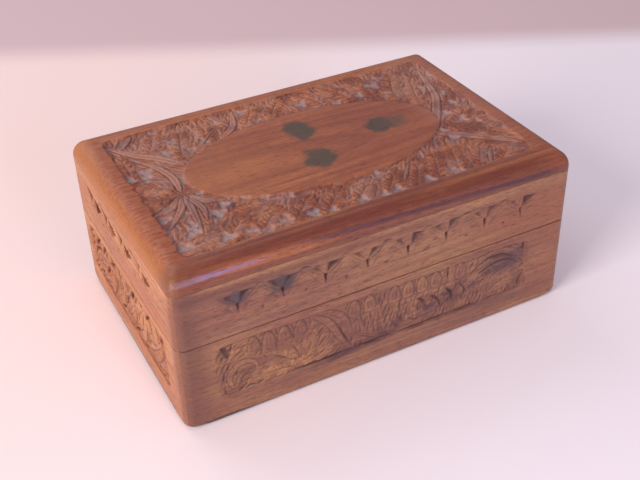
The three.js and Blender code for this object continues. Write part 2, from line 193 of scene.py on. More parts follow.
@dataclass(frozen=True)
class LeafStyle:
    """How one kind of carved leaf is cut.

    Its middle lies lower than its edges by the crease, and its top below the face. The moat
    is the groove round it, as a share of the ground's depth. Lobes repeat at the spacing.
    """

    width: float = 2.0
    crease: float = 0.42
    vein_pitch: float = 1.5
    vein_depth: float = 0.12
    lobe_depth: float = 0.0
    fullness: float = 0.7
    blunt: float = 0.75
    top: float = 0.05
    moat: float = 0.75
    moat_width: float = 0.5
    dust_and_sheen: float = 0.0
    spacing: float = 1.9


@dataclass(frozen=True)
class Stroke:
    """One kind of small gouge stroke."""

    length: float
    width: float
    depth: float


@dataclass
class Relief:
    """Carving of one face: a depth below the face at each point of a regular grid.

    Beside the height, each point has its depth of ground, its share of dust and painted sheen, its tint,
    its dark seam or painted foot shadow, and whether something is carved there. The bloom is dust and
    painted sheen that drifts over the ground.
    """

    low: Point
    high: Point
    pitch: float
    wear: float = 0.17
    bloom: float = 0.3
    deepest: float = 1.9
    near_reach: float = 0.45
    far_reach: float = 1.5
    drift_size: float = 2.0
    seed: int = 3
    columns: int = field(init=False)
    rows: int = field(init=False)

    def __post_init__(self) -> None:
        """Lays out the grid, with nothing carved yet."""
        self.columns = round((self.high[0] - self.low[0]) / self.pitch)
        self.rows = round((self.high[1] - self.low[1]) / self.pitch)
        across = np.linspace(self.low[0], self.high[0], self.columns + 1)
        upwards = np.linspace(self.low[1], self.high[1], self.rows + 1)
        self.x, self.y = np.meshgrid(across, upwards)
        self.height, self.ground, self.rounding = (np.zeros_like(self.x) for _ in range(3))
        self.dust_and_sheen_share, self.seam, self.tint = (np.zeros_like(self.x) for _ in range(3))
        self.taken = np.zeros(self.x.shape, bool)
        self.luck = np.random.default_rng(self.seed)

    def cells(self, places: np.ndarray) -> np.ndarray:
        """Finds the grid point that is nearest to each place.

        Args:
            places: Rows of (across, up).

        Returns:
            The column of each, and then the row of each.
        """
        steps = (np.array(self.high) - self.low) / (self.columns, self.rows)
        return np.rint((places - self.low) / steps).astype(int).T

    def window(self, low: np.ndarray, high: np.ndarray) -> Window:
        """Finds the part of the grid between two corners.

        Args:
            low: Lowest corner.
            high: Highest corner.

        Returns:
            Slices of the rows and the columns.
        """
        spans = []
        for axis, count in ((1, self.rows), (0, self.columns)):
            step = (self.high[axis] - self.low[axis]) / count
            start = math.floor((low[axis] - self.low[axis]) / step)
            stop = math.ceil((high[axis] - self.low[axis]) / step) + 1
            spans.append(slice(min(max(start, 0), count + 1), min(max(stop, 0), count + 1)))
        return spans[0], spans[1]

    def along(self, points: Line,
              reach: float) -> tuple[Window, np.ndarray, np.ndarray, np.ndarray, np.ndarray]:
        """Measures the grid near a line in the line's own terms.

        Args:
            points: What the line is drawn through.
            reach: How far from the line the grid is measured.

        Returns:
            The window, the way travelled along the line, that way as a share of its length,
            the offset to its left, and how far a place lies beyond its ends.
        """
        line = curve_through(points)
        window = self.window(line.min(0) - reach, line.max(0) + reach)
        x, y = self.x[window], self.y[window]
        squared = (x[..., None] - line[:, 0]) ** 2 + (y[..., None] - line[:, 1]) ** 2
        nearest = squared.argmin(-1)
        heading = headings(line)[nearest]
        from_x = x - line[nearest, 0]
        from_y = y - line[nearest, 1]
        spacing = np.linalg.norm(line[1] - line[0])
        travelled = nearest * spacing + from_x * heading[..., 0] + from_y * heading[..., 1]
        offset = from_y * heading[..., 0] - from_x * heading[..., 1]
        length = spacing * (len(line) - 1)
        share = np.clip(travelled / length, 0.0, 1.0)
        beyond = np.maximum(-travelled, 0.0) + np.maximum(travelled - length, 0.0)
        return window, travelled, share, offset, beyond

    def sink(self, inside: np.ndarray, depth: float, wall: float = 0.5) -> None:
        """Lowers the ground of an area, which leaves are then raised from.

        Args:
            inside: Distance to the area's edge at each grid point, positive inside.
            depth: Depth of the ground.
            wall: Width of the slope at the edge.
        """
        self.ground = np.maximum(self.ground, depth * (inside > 0))
        self.height = np.minimum(self.height, -depth * smooth_step(0.0, wall, inside))

    def leaf(self, line: Line, style: LeafStyle, width: float | None = None) -> None:
        """Raises a leaf from the ground, with a groove round it where it lies on others.

        Args:
            line: Middle line of the leaf, from its stalk to its tip.
            style: How it is cut.
            width: Greatest width, where it isn't the style's.
        """
        half = (width or style.width) / 2
        window, travelled, share, offset, beyond = self.along(line, half + 1.0)
        outline = half * np.sin(np.pi * share ** style.fullness) ** style.blunt
        lobe = np.abs(np.sin(np.pi * travelled / (1.6 * style.vein_pitch)))
        outline = outline * (1.0 - style.lobe_depth * (1.0 - lobe)) - beyond
        inside = outline - np.abs(offset)
        across = np.clip(np.abs(offset) / np.maximum(outline, 0.2), 0.0, 1.0)
        vein = (0.5 + 0.5 * np.cos(2 * np.pi * (travelled - 1.1 * np.abs(offset)) / style.vein_pitch)) ** 2
        veins = style.vein_depth * vein * smooth_step(0.1, 0.4, across)
        surface = -style.top - style.crease * (1.0 - across) - veins
        depth = self.ground[window]
        existing = self.height[window]
        near = smooth_step(-style.moat_width, 0.0, inside) * (depth > 0)
        below = existing + (np.minimum(existing, -style.moat * depth) - existing) * near
        rise = smooth_step(-0.02, 0.4, inside) * (depth > 0)
        self.height[window] = below + (surface - below) * rise
        self.dust_and_sheen_share[window] = np.maximum(self.dust_and_sheen_share[window] * (1.0 - rise), style.dust_and_sheen * rise)
        self.tint[window] += (self.luck.uniform(-1.0, 1.0) - self.tint[window]) * rise
        self.taken[window] |= inside > -0.3

    def frond(self, line: Line, style: LeafStyle, width: float, lobe: LeafStyle) -> None:
        """Raises a leaf that is cut into finger lobes on both sides of its midrib.

        Args:
            line: Middle line of the leaf, from its stalk to its tip.
            style: How the leaf as a whole is shaped.
            width: Its greatest width.
            lobe: How each lobe is cut.
        """
        points = curve_through(line)
        count = len(points)
        length = np.linalg.norm(points[1] - points[0]) * (count - 1)
        aside = leftwards(points)
        share = np.linspace(0.0, 1.0, count)
        half = 0.5 * width * np.sin(np.pi * share ** style.fullness) ** style.blunt
        self.leaf(line, style, width)
        pitch = lobe.spacing * self.luck.uniform(0.95, 1.4)
        for start in np.arange(0.04 * length, 0.8 * length, pitch):
            start += self.luck.uniform(-0.2, 0.2) * pitch
            root = min(int(start / length * count), count - 1)
            for side in (-1.0, 1.0):
                reach = 1.25 * half[root] + self.luck.uniform(0.2, 1.0)
                tip = min(int((start + reach) / length * count), count - 1)
                end = points[tip] + side * aside[tip] * (half[tip] + 0.15)
                middle = 0.5 * (points[root] + end) + side * aside[root] * 0.14 * width
                self.leaf([points[root], middle, end], lobe, 0.9 * pitch)
        self.leaf([points[int(0.62 * count)], points[int(0.8 * count)], points[-1]], lobe)
        self.groove([points[int(part * count)] for part in (0.05, 0.3, 0.6, 0.85)], 0.7, 0.3)

    def clear(self, x: float, y: float, radius: float, depth: float) -> None:
        """Lowers a three-sided patch of the ground and keeps small cuts off it.

        Args:
            x: Middle of the patch across the face.
            y: Middle of the patch up the face.
            radius: Size of the patch.
            depth: How deep it is lowered.
        """
        angle = np.arctan2(self.y - y, self.x - x)
        away = np.hypot(self.x - x, self.y - y) / (radius * (1.0 + 0.3 * np.cos(3 * angle + x + y)))
        lowered = (1.0 - smooth_step(0.8, 1.1, away)) * (self.ground > 0)
        self.height = np.minimum(self.height, -depth * lowered)
        self.dust_and_sheen_share = np.maximum(self.dust_and_sheen_share, lowered)
        self.taken |= away < 1.0

    def groove(self, line: Line, width: float, depth: float, lean: float = 0.0) -> None:
        """Cuts a gouge stroke that tapers at both ends.

        Args:
            line: Middle line of the stroke.
            width: Greatest width.
            depth: Greatest depth.
            lean: Where the deepest part lies across the stroke, from -1 right to 1 left.
        """
        window, _, share, offset, beyond = self.along(line, width / 2 + 0.6)
        half = 0.5 * width * np.sin(np.pi * (0.06 + 0.88 * share)) ** 0.6 - beyond
        across = np.clip(offset / np.maximum(half, 0.15), -1.0, 1.0)
        slope = np.where(across < lean, (across + 1) / (1 + lean), (1 - across) / (1 - lean))
        cut = -depth * slope * np.sin(np.pi * (0.08 + 0.84 * share)) ** 0.8
        within = half > np.abs(offset)
        reached = np.where(within, self.height[window] + cut, self.height[window])
        self.height[window] = np.minimum(self.height[window], np.maximum(reached, -self.deepest))
        dust_and_sheen = min(1.0, depth ** 2) * smooth_step(0.05, 0.4, -cut / depth) * within
        self.dust_and_sheen_share[window] = np.maximum(self.dust_and_sheen_share[window], dust_and_sheen)
        self.tint[window] = np.where(within, self.luck.uniform(-1.0, 1.0), self.tint[window])
        self.taken[window] |= half > np.abs(offset) + 0.1

    def chip(self, corners: Line, deepest: Point, depth: float) -> None:
        """Cuts out a three-sided chip with flat slopes down to one point.

        Args:
            corners: The chip's three corners on the face, anticlockwise.
            deepest: Where the slopes meet.
            depth: How deep they meet.
        """
        points = np.array(corners, float)
        window = self.window(points.min(0) - 0.2, points.max(0) + 0.2)
        share = np.full(self.x[window].shape, 1e3)
        for start, end in zip(points, np.roll(points, -1, axis=0)):
            edge = (end - start) / np.linalg.norm(end - start)

            def left_of(x: np.ndarray | float, y: np.ndarray | float) -> np.ndarray | float:
                """Distance of a place to the left of this edge of the chip."""
                return (y - start[1]) * edge[0] - (x - start[0]) * edge[1]

            share = np.minimum(share, left_of(self.x[window], self.y[window]) / left_of(*deepest))
        self.height[window] = np.minimum(self.height[window], -depth * np.clip(share, 0.0, 1.0))
        dust_and_sheen = min(1.0, (depth / 1.3) ** 2) * smooth_step(0.0, 0.1, share)
        self.dust_and_sheen_share[window] = np.maximum(self.dust_and_sheen_share[window], dust_and_sheen)

    def is_free(self, line: np.ndarray, half: float, room: np.ndarray) -> bool:
        """Tells whether a leaf would lie in the room that is left.

        Args:
            line: Middle line of the leaf.
            half: Half its width.
            room: Distance to the edge of the area at each grid point, positive inside.

        Returns:
            True if it stays in the area and overlaps other leaves only a little.
        """
        swell = np.sin(np.pi * np.linspace(0.08, 0.92, len(line)))[:, None] * half
        aside = leftwards(line) * swell
        column, row = self.cells(np.vstack([line, line + aside, line - aside]))
        if column.min() < 0 or row.min() < 0 or column.max() > self.columns or row.max() > self.rows:
            return False
        if room[row, column].min() < 0:
            return False
        return self.taken[row, column].mean() < 0.12

    def hatch(self, room: np.ndarray, lie: "Lie", strokes: Sequence[Stroke], seed: int) -> int:
        """Covers the ground that is left with gouge strokes, the largest kind first.

        Args:
            room: Distance to the edge of the area at each grid point, positive inside.
            lie: Which way the strokes run at each place.
            strokes: Kinds of stroke, largest first.
            seed: Start of the chance moves that a carver's hand makes.

        Returns:
            How many strokes were cut.
        """
        luck = np.random.default_rng(seed)
        cut = 0
        for stroke in strokes:
            pitch = 0.5 * stroke.width + 0.3
            across = np.arange(self.low[0], self.high[0], pitch)
            upwards = np.arange(self.low[1], self.high[1], pitch)
            spots = np.stack(np.meshgrid(across, upwards), -1).reshape(-1, 2)
            spots = spots + luck.uniform(-0.4, 0.4, spots.shape) * pitch
            luck.shuffle(spots)
            chances = luck.uniform(-1.0, 1.0, (len(spots), 4))
            for spot, (turn, stretch, bend, firm) in zip(spots, chances):
                angle = lie.angle(spot[0], spot[1]) + 0.3 * turn
                reach = 0.5 * stroke.length * (1.0 + 0.3 * stretch)
                way = reach * np.array([math.cos(angle), math.sin(angle)])
                line = bowed(spot - way, spot + way, 0.2 * bend)
                if self.is_free(curve_through(line, 0.6), stroke.width / 2, room):
                    self.groove(line, stroke.width, stroke.depth * (1.0 + 0.3 * firm), lean=0.5 * turn)
                    cut += 1
        return cut

    def finished(self) -> dict[str, np.ndarray]:
        """Rubs the carving down a little and measures its hollows and edges, for dirt and painted shade.

        Returns:
            The height; the share of dust and painted sheen ("hollow"); how far each point lies in a hollow
            (positive) or on an edge (negative), with the seams added, as "cavity"; and how light each cut
            is ("tint").
        """
        worn = blurred(self.height + self.rounding, self.wear / self.pitch)
        near = blurred(worn, self.near_reach / self.pitch) - worn
        far = blurred(worn, self.far_reach / self.pitch) - worn
        cavity = np.clip(near / 0.18 + np.clip(far, 0.0, 2.0) / 0.9, -1.0, 1.0)
        cavity = cavity * (1.0 - 0.6 * self.dust_and_sheen_share)
        chance = self.luck.normal(size=self.x.shape)
        drift = blurred(chance, self.drift_size / self.pitch) * (self.ground > 0)
        drift /= max(drift.std(), 1e-6)
        # The bloom drifts the dust colour over the carving: dust, and on the top painted sheen.
        dust_and_sheen = np.maximum(self.dust_and_sheen_share, self.bloom * smooth_step(0.2, 1.8, drift))
        return {
            "height": worn,
            "hollow": blurred(dust_and_sheen, self.wear / self.pitch),
            # The seams add the dark parting joint and the painted contact shadow at the foot.
            "cavity": np.maximum(cavity, self.seam),
            "tint": blurred(self.tint + 0.6 * np.minimum(drift, 0.0), self.wear / self.pitch)}


def blurred(values: np.ndarray, spread: float) -> np.ndarray:
    """Spreads each value over its neighbours.

    Args:
        values: Grid of values.
        spread: How far, as the standard deviation in grid steps.

    Returns:
        The smoothed grid.
    """
    reach = max(1, round(2.5 * spread))
    weights = np.exp(-0.5 * (np.arange(-reach, reach + 1) / spread) ** 2)
    weights /= weights.sum()
    result = values
    for axis in (0, 1):
        count = result.shape[axis]
        padded = np.pad(result, [(reach, reach) if a == axis else (0, 0) for a in (0, 1)], mode="edge")
        shifted = (weight * padded.take(range(i, i + count), axis=axis) for i, weight in enumerate(weights))
        result = sum(shifted)
    return result


@dataclass(frozen=True)
class Lie:
    """Which way leaves point: towards the headings noted at some places nearby."""

    notes: tuple[Place, ...]

    def angle(self, x: float, y: float) -> float:
        """Blends the headings of the nearest notes.

        Args:
            x: Place across the face.
            y: Place up the face.

        Returns:
            The heading in radians, anticlockwise from X.
        """
        east = 0.0
        north = 0.0
        for note_x, note_y, degrees in self.notes:
            weight = 1.0 / (((x - note_x) ** 2 + (y - note_y) ** 2) ** 2 + 20.0)
            east += weight * math.cos(math.radians(degrees))
            north += weight * math.sin(math.radians(degrees))
        return math.atan2(north, east)


class Wire:
    """A node socket whose sums and products add Math nodes to its material."""

    def __init__(self, graph: "Graph", socket: bpy.types.NodeSocket) -> None:
        """Keeps the socket and the graph that it belongs to."""
        self.graph = graph
        self.socket = socket

    def __add__(self, other: "Wire | float") -> "Wire":
        """Adds a number or another socket."""
        return self.graph.maths("ADD", self, other)

    def __radd__(self, other: float) -> "Wire":
        """Is added to a number."""
        return self.graph.maths("ADD", other, self)

    def __sub__(self, other: "Wire | float") -> "Wire":
        """Takes away a number or another socket."""
        return self.graph.maths("SUBTRACT", self, other)

    def __rsub__(self, other: float) -> "Wire":
        """Is taken away from a number."""
        return self.graph.maths("SUBTRACT", other, self)

    def __mul__(self, other: "Wire | float") -> "Wire":
        """Multiplies by a number or another socket."""
        return self.graph.maths("MULTIPLY", self, other)

    def __rmul__(self, other: float) -> "Wire":
        """Multiplies a number."""
        return self.graph.maths("MULTIPLY", other, self)

    def __truediv__(self, other: "Wire | float") -> "Wire":
        """Divides by a number or another socket."""
        return self.graph.maths("DIVIDE", self, other)

    def __rtruediv__(self, other: float) -> "Wire":
        """Divides a number."""
        return self.graph.maths("DIVIDE", other, self)

    def __pow__(self, other: "Wire | float") -> "Wire":
        """Raises to a power."""
        return self.graph.maths("POWER", self, other)


class Graph:
    """The nodes of one material."""

    def __init__(self, name: str) -> None:
        """Starts an empty material of that name."""
        self.material = bpy.data.materials.new(name)
        self.material.use_nodes = True
        self.tree = self.material.node_tree
        self.tree.nodes.clear()

    def node(self, kind: str, settings: dict[str, object],
             sockets: dict[str | int, object]) -> bpy.types.Node:
        """Adds a node.

        Args:
            kind: Blender's type name of the node.
            settings: Its settings.
            sockets: Values or wires for its inputs, by name or number.

        Returns:
            The node.
        """
        made = self.tree.nodes.new(kind)
        for name, value in settings.items():
            setattr(made, name, value)
        for key, value in sockets.items():
            if isinstance(value, Wire):
                self.tree.links.new(value.socket, made.inputs[key])
            else:
                made.inputs[key].default_value = value
        return made

    def wire(self, kind: str, settings: dict[str, object], sockets: dict[str | int, object],
             output: int | str = 0) -> Wire:
        """Adds a node and takes one of its outputs.

        Args:
            kind: Blender's type name of the node.
            settings: Its settings.
            sockets: Values or wires for its inputs.
            output: Name or number of the output.

        Returns:
            The output's wire.
        """
        return Wire(self, self.node(kind, settings, sockets).outputs[output])

    def maths(self, operation: str, *values: Wire | float) -> Wire:
        """Adds a Math node for an operation on up to three values."""
        return self.wire("ShaderNodeMath", {"operation": operation}, dict(enumerate(values)))

    def step(self, low: float, high: float, value: Wire) -> Wire:
        """Rises smoothly from 0 at low to 1 at high.

        Args:
            low: Value at which the result is still 0.
            high: Value from which the result is 1.
            value: What is judged.

        Returns:
            The share from 0 to 1.
        """
        ends = {"From Min": low, "From Max": high, "Value": value}
        return self.wire("ShaderNodeMapRange", {"interpolation_type": "SMOOTHSTEP"}, ends)

    def mix(self, share: Wire | float, first: Wire | Colour, second: Wire | Colour,
            blend: str = "MIX") -> Wire:
        """Mixes two colours.

        Args:
            share: How much of the second one shows.
            first: Colour at share 0.
            second: Colour at share 1.
            blend: How the second is laid on the first.

        Returns:
            The mixed colour.
        """
        settings = {"data_type": "RGBA", "blend_type": blend}
        return self.wire("ShaderNodeMix", settings, {0: share, 6: first, 7: second}, 2)

    def vectors(self, operation: str, first: Wire, second: Place | None = None) -> Wire:
        """Adds a Vector Math node for an operation on one or two vectors."""
        sockets = {0: first} if second is None else {0: first, 1: second}
        output = 1 if operation == "LENGTH" else 0
        return self.wire("ShaderNodeVectorMath", {"operation": operation}, sockets, output)

    def parts(self, place: Wire) -> list[Wire]:
        """Splits a place into its X, Y and Z."""
        split = self.node("ShaderNodeSeparateXYZ", {}, {0: place})
        return [Wire(self, output) for output in split.outputs]

    def place(self) -> Wire:
        """Gives the place on the box in metres."""
        return self.wire("ShaderNodeTexCoord", {}, {}, "Object")

    def bump(self, strength: float, distance: float, height: Wire) -> Wire:
        """Turns a fine height into a tilt of the surface.

        Args:
            strength: Share of the tilt that shows.
            distance: Metres that a height of 1 stands for.
            height: The height.

        Returns:
            The tilted normal.
        """
        sockets = {"Strength": strength, "Distance": distance, "Height": height}
        return self.wire("ShaderNodeBump", {}, sockets)

    def noise(self, place: Wire, scale: Place, detail: float = 2.0, roughness: float = 0.5) -> Wire:
        """Adds soft noise, finer where the scale is larger.

        Args:
            place: Where the noise is read.
            scale: Cells per millimetre along each axis.
            detail: How many finer layers are added.
            roughness: How strong the finer layers are.

        Returns:
            A value round 0.5.
        """
        sockets = {
            "Vector": self.vectors("MULTIPLY", place, scale), "Scale": 1.0, "Detail": detail,
            "Roughness": roughness}
        return self.wire("ShaderNodeTexNoise", {}, sockets)

    def attribute(self, name: str) -> Wire:
        """Reads a number that each point of the mesh carries."""
        return self.wire("ShaderNodeAttribute", {"attribute_name": name}, {}, "Fac")

    def finish(self, shader: dict[str, object]) -> Material:
        """Adds the surface shader.

        Args:
            shader: Values or wires of the shader's sockets.

        Returns:
            The finished material.
        """
        surface = self.wire("ShaderNodeBsdfPrincipled", {}, shader)
        self.node("ShaderNodeOutputMaterial", {}, {"Surface": surface})
        return self.material


@dataclass(frozen=True)
class Streak:
    """A band of another colour along the grain, broken into clumps where it says so."""

    start: Point
    end: Point
    width: float
    strength: float = 0.8
    wander: float = 3.0
    colour: Colour | None = None
    broken: float = 0.0


@dataclass(frozen=True)
class Stain:
    """A round soft-edged patch of another colour, which keeps to the fibres where it says so."""

    centre: Place
    half_size: Place
    colour: Colour
    strength: float = 0.8
    softness: float = 0.5
    raggedness: float = 0.5
    fibrous: float = 0.0


@dataclass(frozen=True)
class WoodFinish:
    """Oiled hardwood as it was sawn from the log, with dust and dirt in its carving, rubbed edges, painted
    shade in its hollows and painted sheen and glints.
    """

    name: str
    grain: Grain
    main: Colour
    late: Colour
    pale: Colour
    heart: Colour
    dust_and_sheen: Colour
    dirt_and_shade: Colour
    # Colour of rubbed edges: wear, and partly a painted highlight on sharp ridges.
    worn: Colour
    glint: Colour = tone(226, 190, 184)
    pith: Point = (0.0, -60.0)
    slope: Point = (0.05, 0.15)
    ring_width: float = 1.6
    ring_contrast: float = 0.6
    heart_share: float = 0.25
    dust_and_sheen_strength: float = 0.8
    dirt_and_shade_strength: float = 0.75
    mottle: float = 0.5
    streaks: tuple[Streak, ...] = ()
    streaks_from_top: bool = False
    stains: tuple[Stain, ...] = ()
    gloss: float = 0.38

    def material(self) -> Material:
        """Builds the finish.

        Returns:
            Its material.
        """
        graph = Graph(self.name)
        place = graph.place()
        turn = math.radians(self.grain.value)
        log = graph.wire(
            "ShaderNodeMapping", {}, {"Vector": place, "Scale": TO_MM, "Rotation": (0.0, 0.0, turn)})
        straight = graph.vectors("MULTIPLY", place, TO_MM)

        fibre = graph.noise(log, (0.12, 1.9, 1.1), 4.0, 0.6)
        pores = graph.step(0.57, 0.7, graph.noise(log, (0.3, 3.6, 3.0), 1.0))
        colour = self._wood(graph, log, fibre)
        colour = self._marked(graph, straight, colour)
        tint = graph.attribute("tint")
        colour = graph.mix(graph.step(0.0, 1.0, tint) * self.mottle, colour, self.pale)
        colour = graph.mix(graph.step(0.0, 1.0, 0.0 - tint) * self.mottle, colour, self.late)
        colour = graph.mix(pores * 0.5, colour, self.dirt_and_shade)
        hollow = graph.attribute("hollow")
        cavity = graph.attribute("cavity")
        patchy = graph.noise(straight, (0.35, 0.35, 0.35), 3.0)
        # Dust colour in hollows, chips and drifts: real dust and dirt, and on the top a painted grey-lilac
        # sheen on the ground, strokes and blades.
        dust_and_sheen_mask = hollow * (graph.step(0.3, 0.55, patchy) * 0.6 + 0.4) * self.dust_and_sheen_strength
        # Darkens by the cavity: dirt in the carving and the dark parting joint, plus painted shade in the
        # recesses and the painted contact shadow at the foot.
        colour = graph.mix(graph.step(0.05, 1.0, cavity) * self.dirt_and_shade_strength, colour, self.dirt_and_shade)
        colour = graph.mix(dust_and_sheen_mask * (1.0 - graph.step(0.3, 1.0, cavity) * 0.3), colour, self.dust_and_sheen)
        # Lighter convex edges and crests: wear, and partly a painted highlight along sharp ridges such as
        # the rim of the top's oval.
        rubbed_and_highlit = graph.step(0.15, 1.0, 0.0 - cavity) * (0.1 + patchy * 0.8)
        colour = graph.mix(rubbed_and_highlit, colour, self.worn)
        # Painted glints: sparse pale flecks on convex crests that stand in for small highlights.
        sparse = graph.step(0.56, 0.66, graph.noise(straight, (0.9,) * 3, 1.0))
        painted_glints = graph.step(0.08, 0.5, 0.0 - cavity) * sparse
        colour = graph.mix(painted_glints * 0.65, colour, self.glint)

        punched = graph.wire("ShaderNodeTexVoronoi", {}, {"Vector": straight, "Scale": 0.9}, "Distance")
        rough_height = fibre * 0.5 - pores * 0.5 + hollow * punched * 1.6
        rough = self.gloss + fibre * 0.14 + hollow * 0.2 + pores * 0.1
        return graph.finish({
            "Base Color": colour, "Roughness": rough, "Normal": graph.bump(0.55, 0.00022, rough_height),
            "Specular IOR Level": 0.45, "Coat Weight": 0.12, "Coat Roughness": 0.25})

    def _wood(self, graph: Graph, log: Wire, fibre: Wire) -> Wire:
        """Colours the growth rings, the fibres and the heartwood.

        Args:
            graph: The material's nodes.
            log: Place in the log in millimetres, its length along X.
            fibre: Fine noise along the grain.

        Returns:
            The colour of clean wood.
        """
        along, across, up = graph.parts(log)
        wander = (graph.noise(log, (0.007, 0.025, 0.025), 1.0) - 0.5) * 8.0
        off_y = across - self.pith[0] + along * self.slope[0] + wander
        off_z = up - self.pith[1] + along * self.slope[1] + wander
        radius = (off_y * off_y + off_z * off_z) ** 0.5
        ring = graph.maths("FRACT", radius / self.ring_width)
        late = graph.step(0.25, 0.9, ring) * (1.0 - graph.step(0.9, 1.0, ring))
        drift = graph.noise(log, (0.022, 0.1, 0.1), 3.0)
        band = graph.noise(log, (0.02, 1.1, 1.1), 3.0, 0.6)
        colour = graph.mix(graph.step(0.35, 0.7, drift), self.main, self.pale)
        colour = graph.mix(late * (0.2 + 0.6 * band) * self.ring_contrast, colour, self.late)
        colour = graph.mix(graph.step(0.5, 0.75, band) * 0.5, colour, self.late)
        colour = graph.mix(graph.step(0.5, 0.75, 1.0 - band) * 0.4, colour, self.pale)
        heart = graph.noise(log, (0.006, 0.09, 0.11), 3.0, 0.55)
        dark = graph.step(0.66 - self.heart_share * 0.5, 0.8 - self.heart_share * 0.4, heart)
        colour = graph.mix(dark * (0.35 + 0.6 * fibre), colour, self.heart)
        speck = graph.noise(log, (0.7, 2.0, 2.0), 2.0, 0.7)
        shade = (graph.step(0.2, 0.8, fibre) * 0.36 + 0.8) * (graph.step(0.3, 0.7, speck) * 0.2 + 0.9)
        grey = graph.wire("ShaderNodeCombineColor", {}, {0: shade, 1: shade, 2: shade})
        return graph.mix(1.0, colour, grey, "MULTIPLY")

    def _marked(self, graph: Graph, place: Wire, colour: Wire) -> Wire:
        """Adds the streaks and stains that have a place of their own.

        Args:
            graph: The material's nodes.
            place: Place on the box in millimetres.
            colour: Colour so far.

        Returns:
            The colour with them.
        """
        along, across, height = graph.parts(place)
        if self.streaks_from_top:
            height = across + (height - SIZES.top)
        ragged = graph.noise(place, (0.05, 0.2, 0.2), 3.0) - 0.5
        fine = graph.noise(place, (0.1, 1.2, 1.2), 3.0)
        fibres = graph.step(0.42, 0.6, fine)
        clumps = graph.step(0.44, 0.56, graph.noise(place, (0.16, 0.16, 0.3), 3.0, 0.6))
        for streak in self.streaks:
            tint = streak.colour or self.heart
            reach = streak.end[0] - streak.start[0]
            started = graph.maths("MAXIMUM", (along - streak.start[0]) / reach, 0.0)
            share = graph.maths("MINIMUM", started, 1.0)
            middle = share * (streak.end[1] - streak.start[1]) + streak.start[1]
            gap = graph.maths("ABSOLUTE", height - middle + ragged * streak.wander * 2.0)
            beyond = graph.maths("MAXIMUM", streak.start[0] - along, along - streak.end[0])
            ends = 1.0 - graph.step(-0.15 * reach, 0.1 * reach, beyond)
            mask = (1.0 - graph.step(0.15 * streak.width, streak.width, gap)) * ends
            whole = 1.0 - (1.0 - clumps) * streak.broken
            colour = graph.mix(mask * (0.45 + fine * 0.8) * whole * streak.strength, colour, tint)
        blotch = graph.noise(place, (0.22, 0.22, 0.22), 4.0, 0.6) - 0.5
        for stain in self.stains:
            moved = graph.vectors("SUBTRACT", place, stain.centre)
            scaled = graph.vectors("DIVIDE", moved, stain.half_size)
            away = graph.vectors("LENGTH", scaled) + blotch * stain.raggedness
            mask = 1.0 - graph.step(1.0 - stain.softness, 1.0 + stain.softness, away)
            whole = 1.0 - (1.0 - fibres) * stain.fibrous
            colour = graph.mix(mask * whole * stain.strength, colour, stain.colour)
        return colour


@dataclass(frozen=True)
class BrassFinish:
    """Rolled or turned brass with a little tarnish."""

    name: str
    bright: Colour
    tarnish: Colour
    gloss: float = 0.3

    def material(self) -> Material:
        """Builds the finish.

        Returns:
            Its material.
        """
        graph = Graph(self.name)
        straight = graph.vectors("MULTIPLY", graph.place(), TO_MM)
        cloud = graph.step(0.4, 0.68, graph.noise(straight, (0.35, 0.35, 0.35), 4.0, 0.6))
        scratch = graph.noise(straight, (0.4, 6.0, 6.0), 3.0)
        colour = graph.mix(cloud * 0.7, self.bright, self.tarnish)
        return graph.finish({
            "Base Color": colour, "Metallic": 1.0,
            "Normal": graph.bump(0.3, 0.00008, scratch * 0.5 + cloud * 0.3),
            "Roughness": self.gloss + cloud * 0.25 + scratch * 0.12})


@dataclass(frozen=True)
class ClothFinish:
    """The pale floor: painted warm light on the left, cooler light towards the front right, and painted
    shade beyond a line at the back where the cloth would rise.
    """

    name: str
    warm: Colour
    cool: Colour
    far: Colour

    def material(self) -> Material:
        """Builds the finish.

        Returns:
            Its material.
        """
        graph = Graph(self.name)
        place = graph.place()
        across, away, _ = graph.parts(place)
        weave = graph.noise(graph.vectors("MULTIPLY", place, TO_MM), (0.02, 0.6, 0.2))
        # Painted warm light on the left, cool light towards the front right.
        colour = graph.mix(graph.step(-0.22, 0.12, across - away * 0.8), self.warm, self.cool)
        # Painted shade beyond the line where the cloth would rise at the back.
        back = across * 0.45 + away * 0.89
        colour = graph.mix(graph.step(0.205, 0.24, back), colour, self.far)
        return graph.finish({
            "Base Color": colour, "Roughness": 0.9, "Specular IOR Level": 0.15,
            "Normal": graph.bump(0.1, 0.0002, weave)})


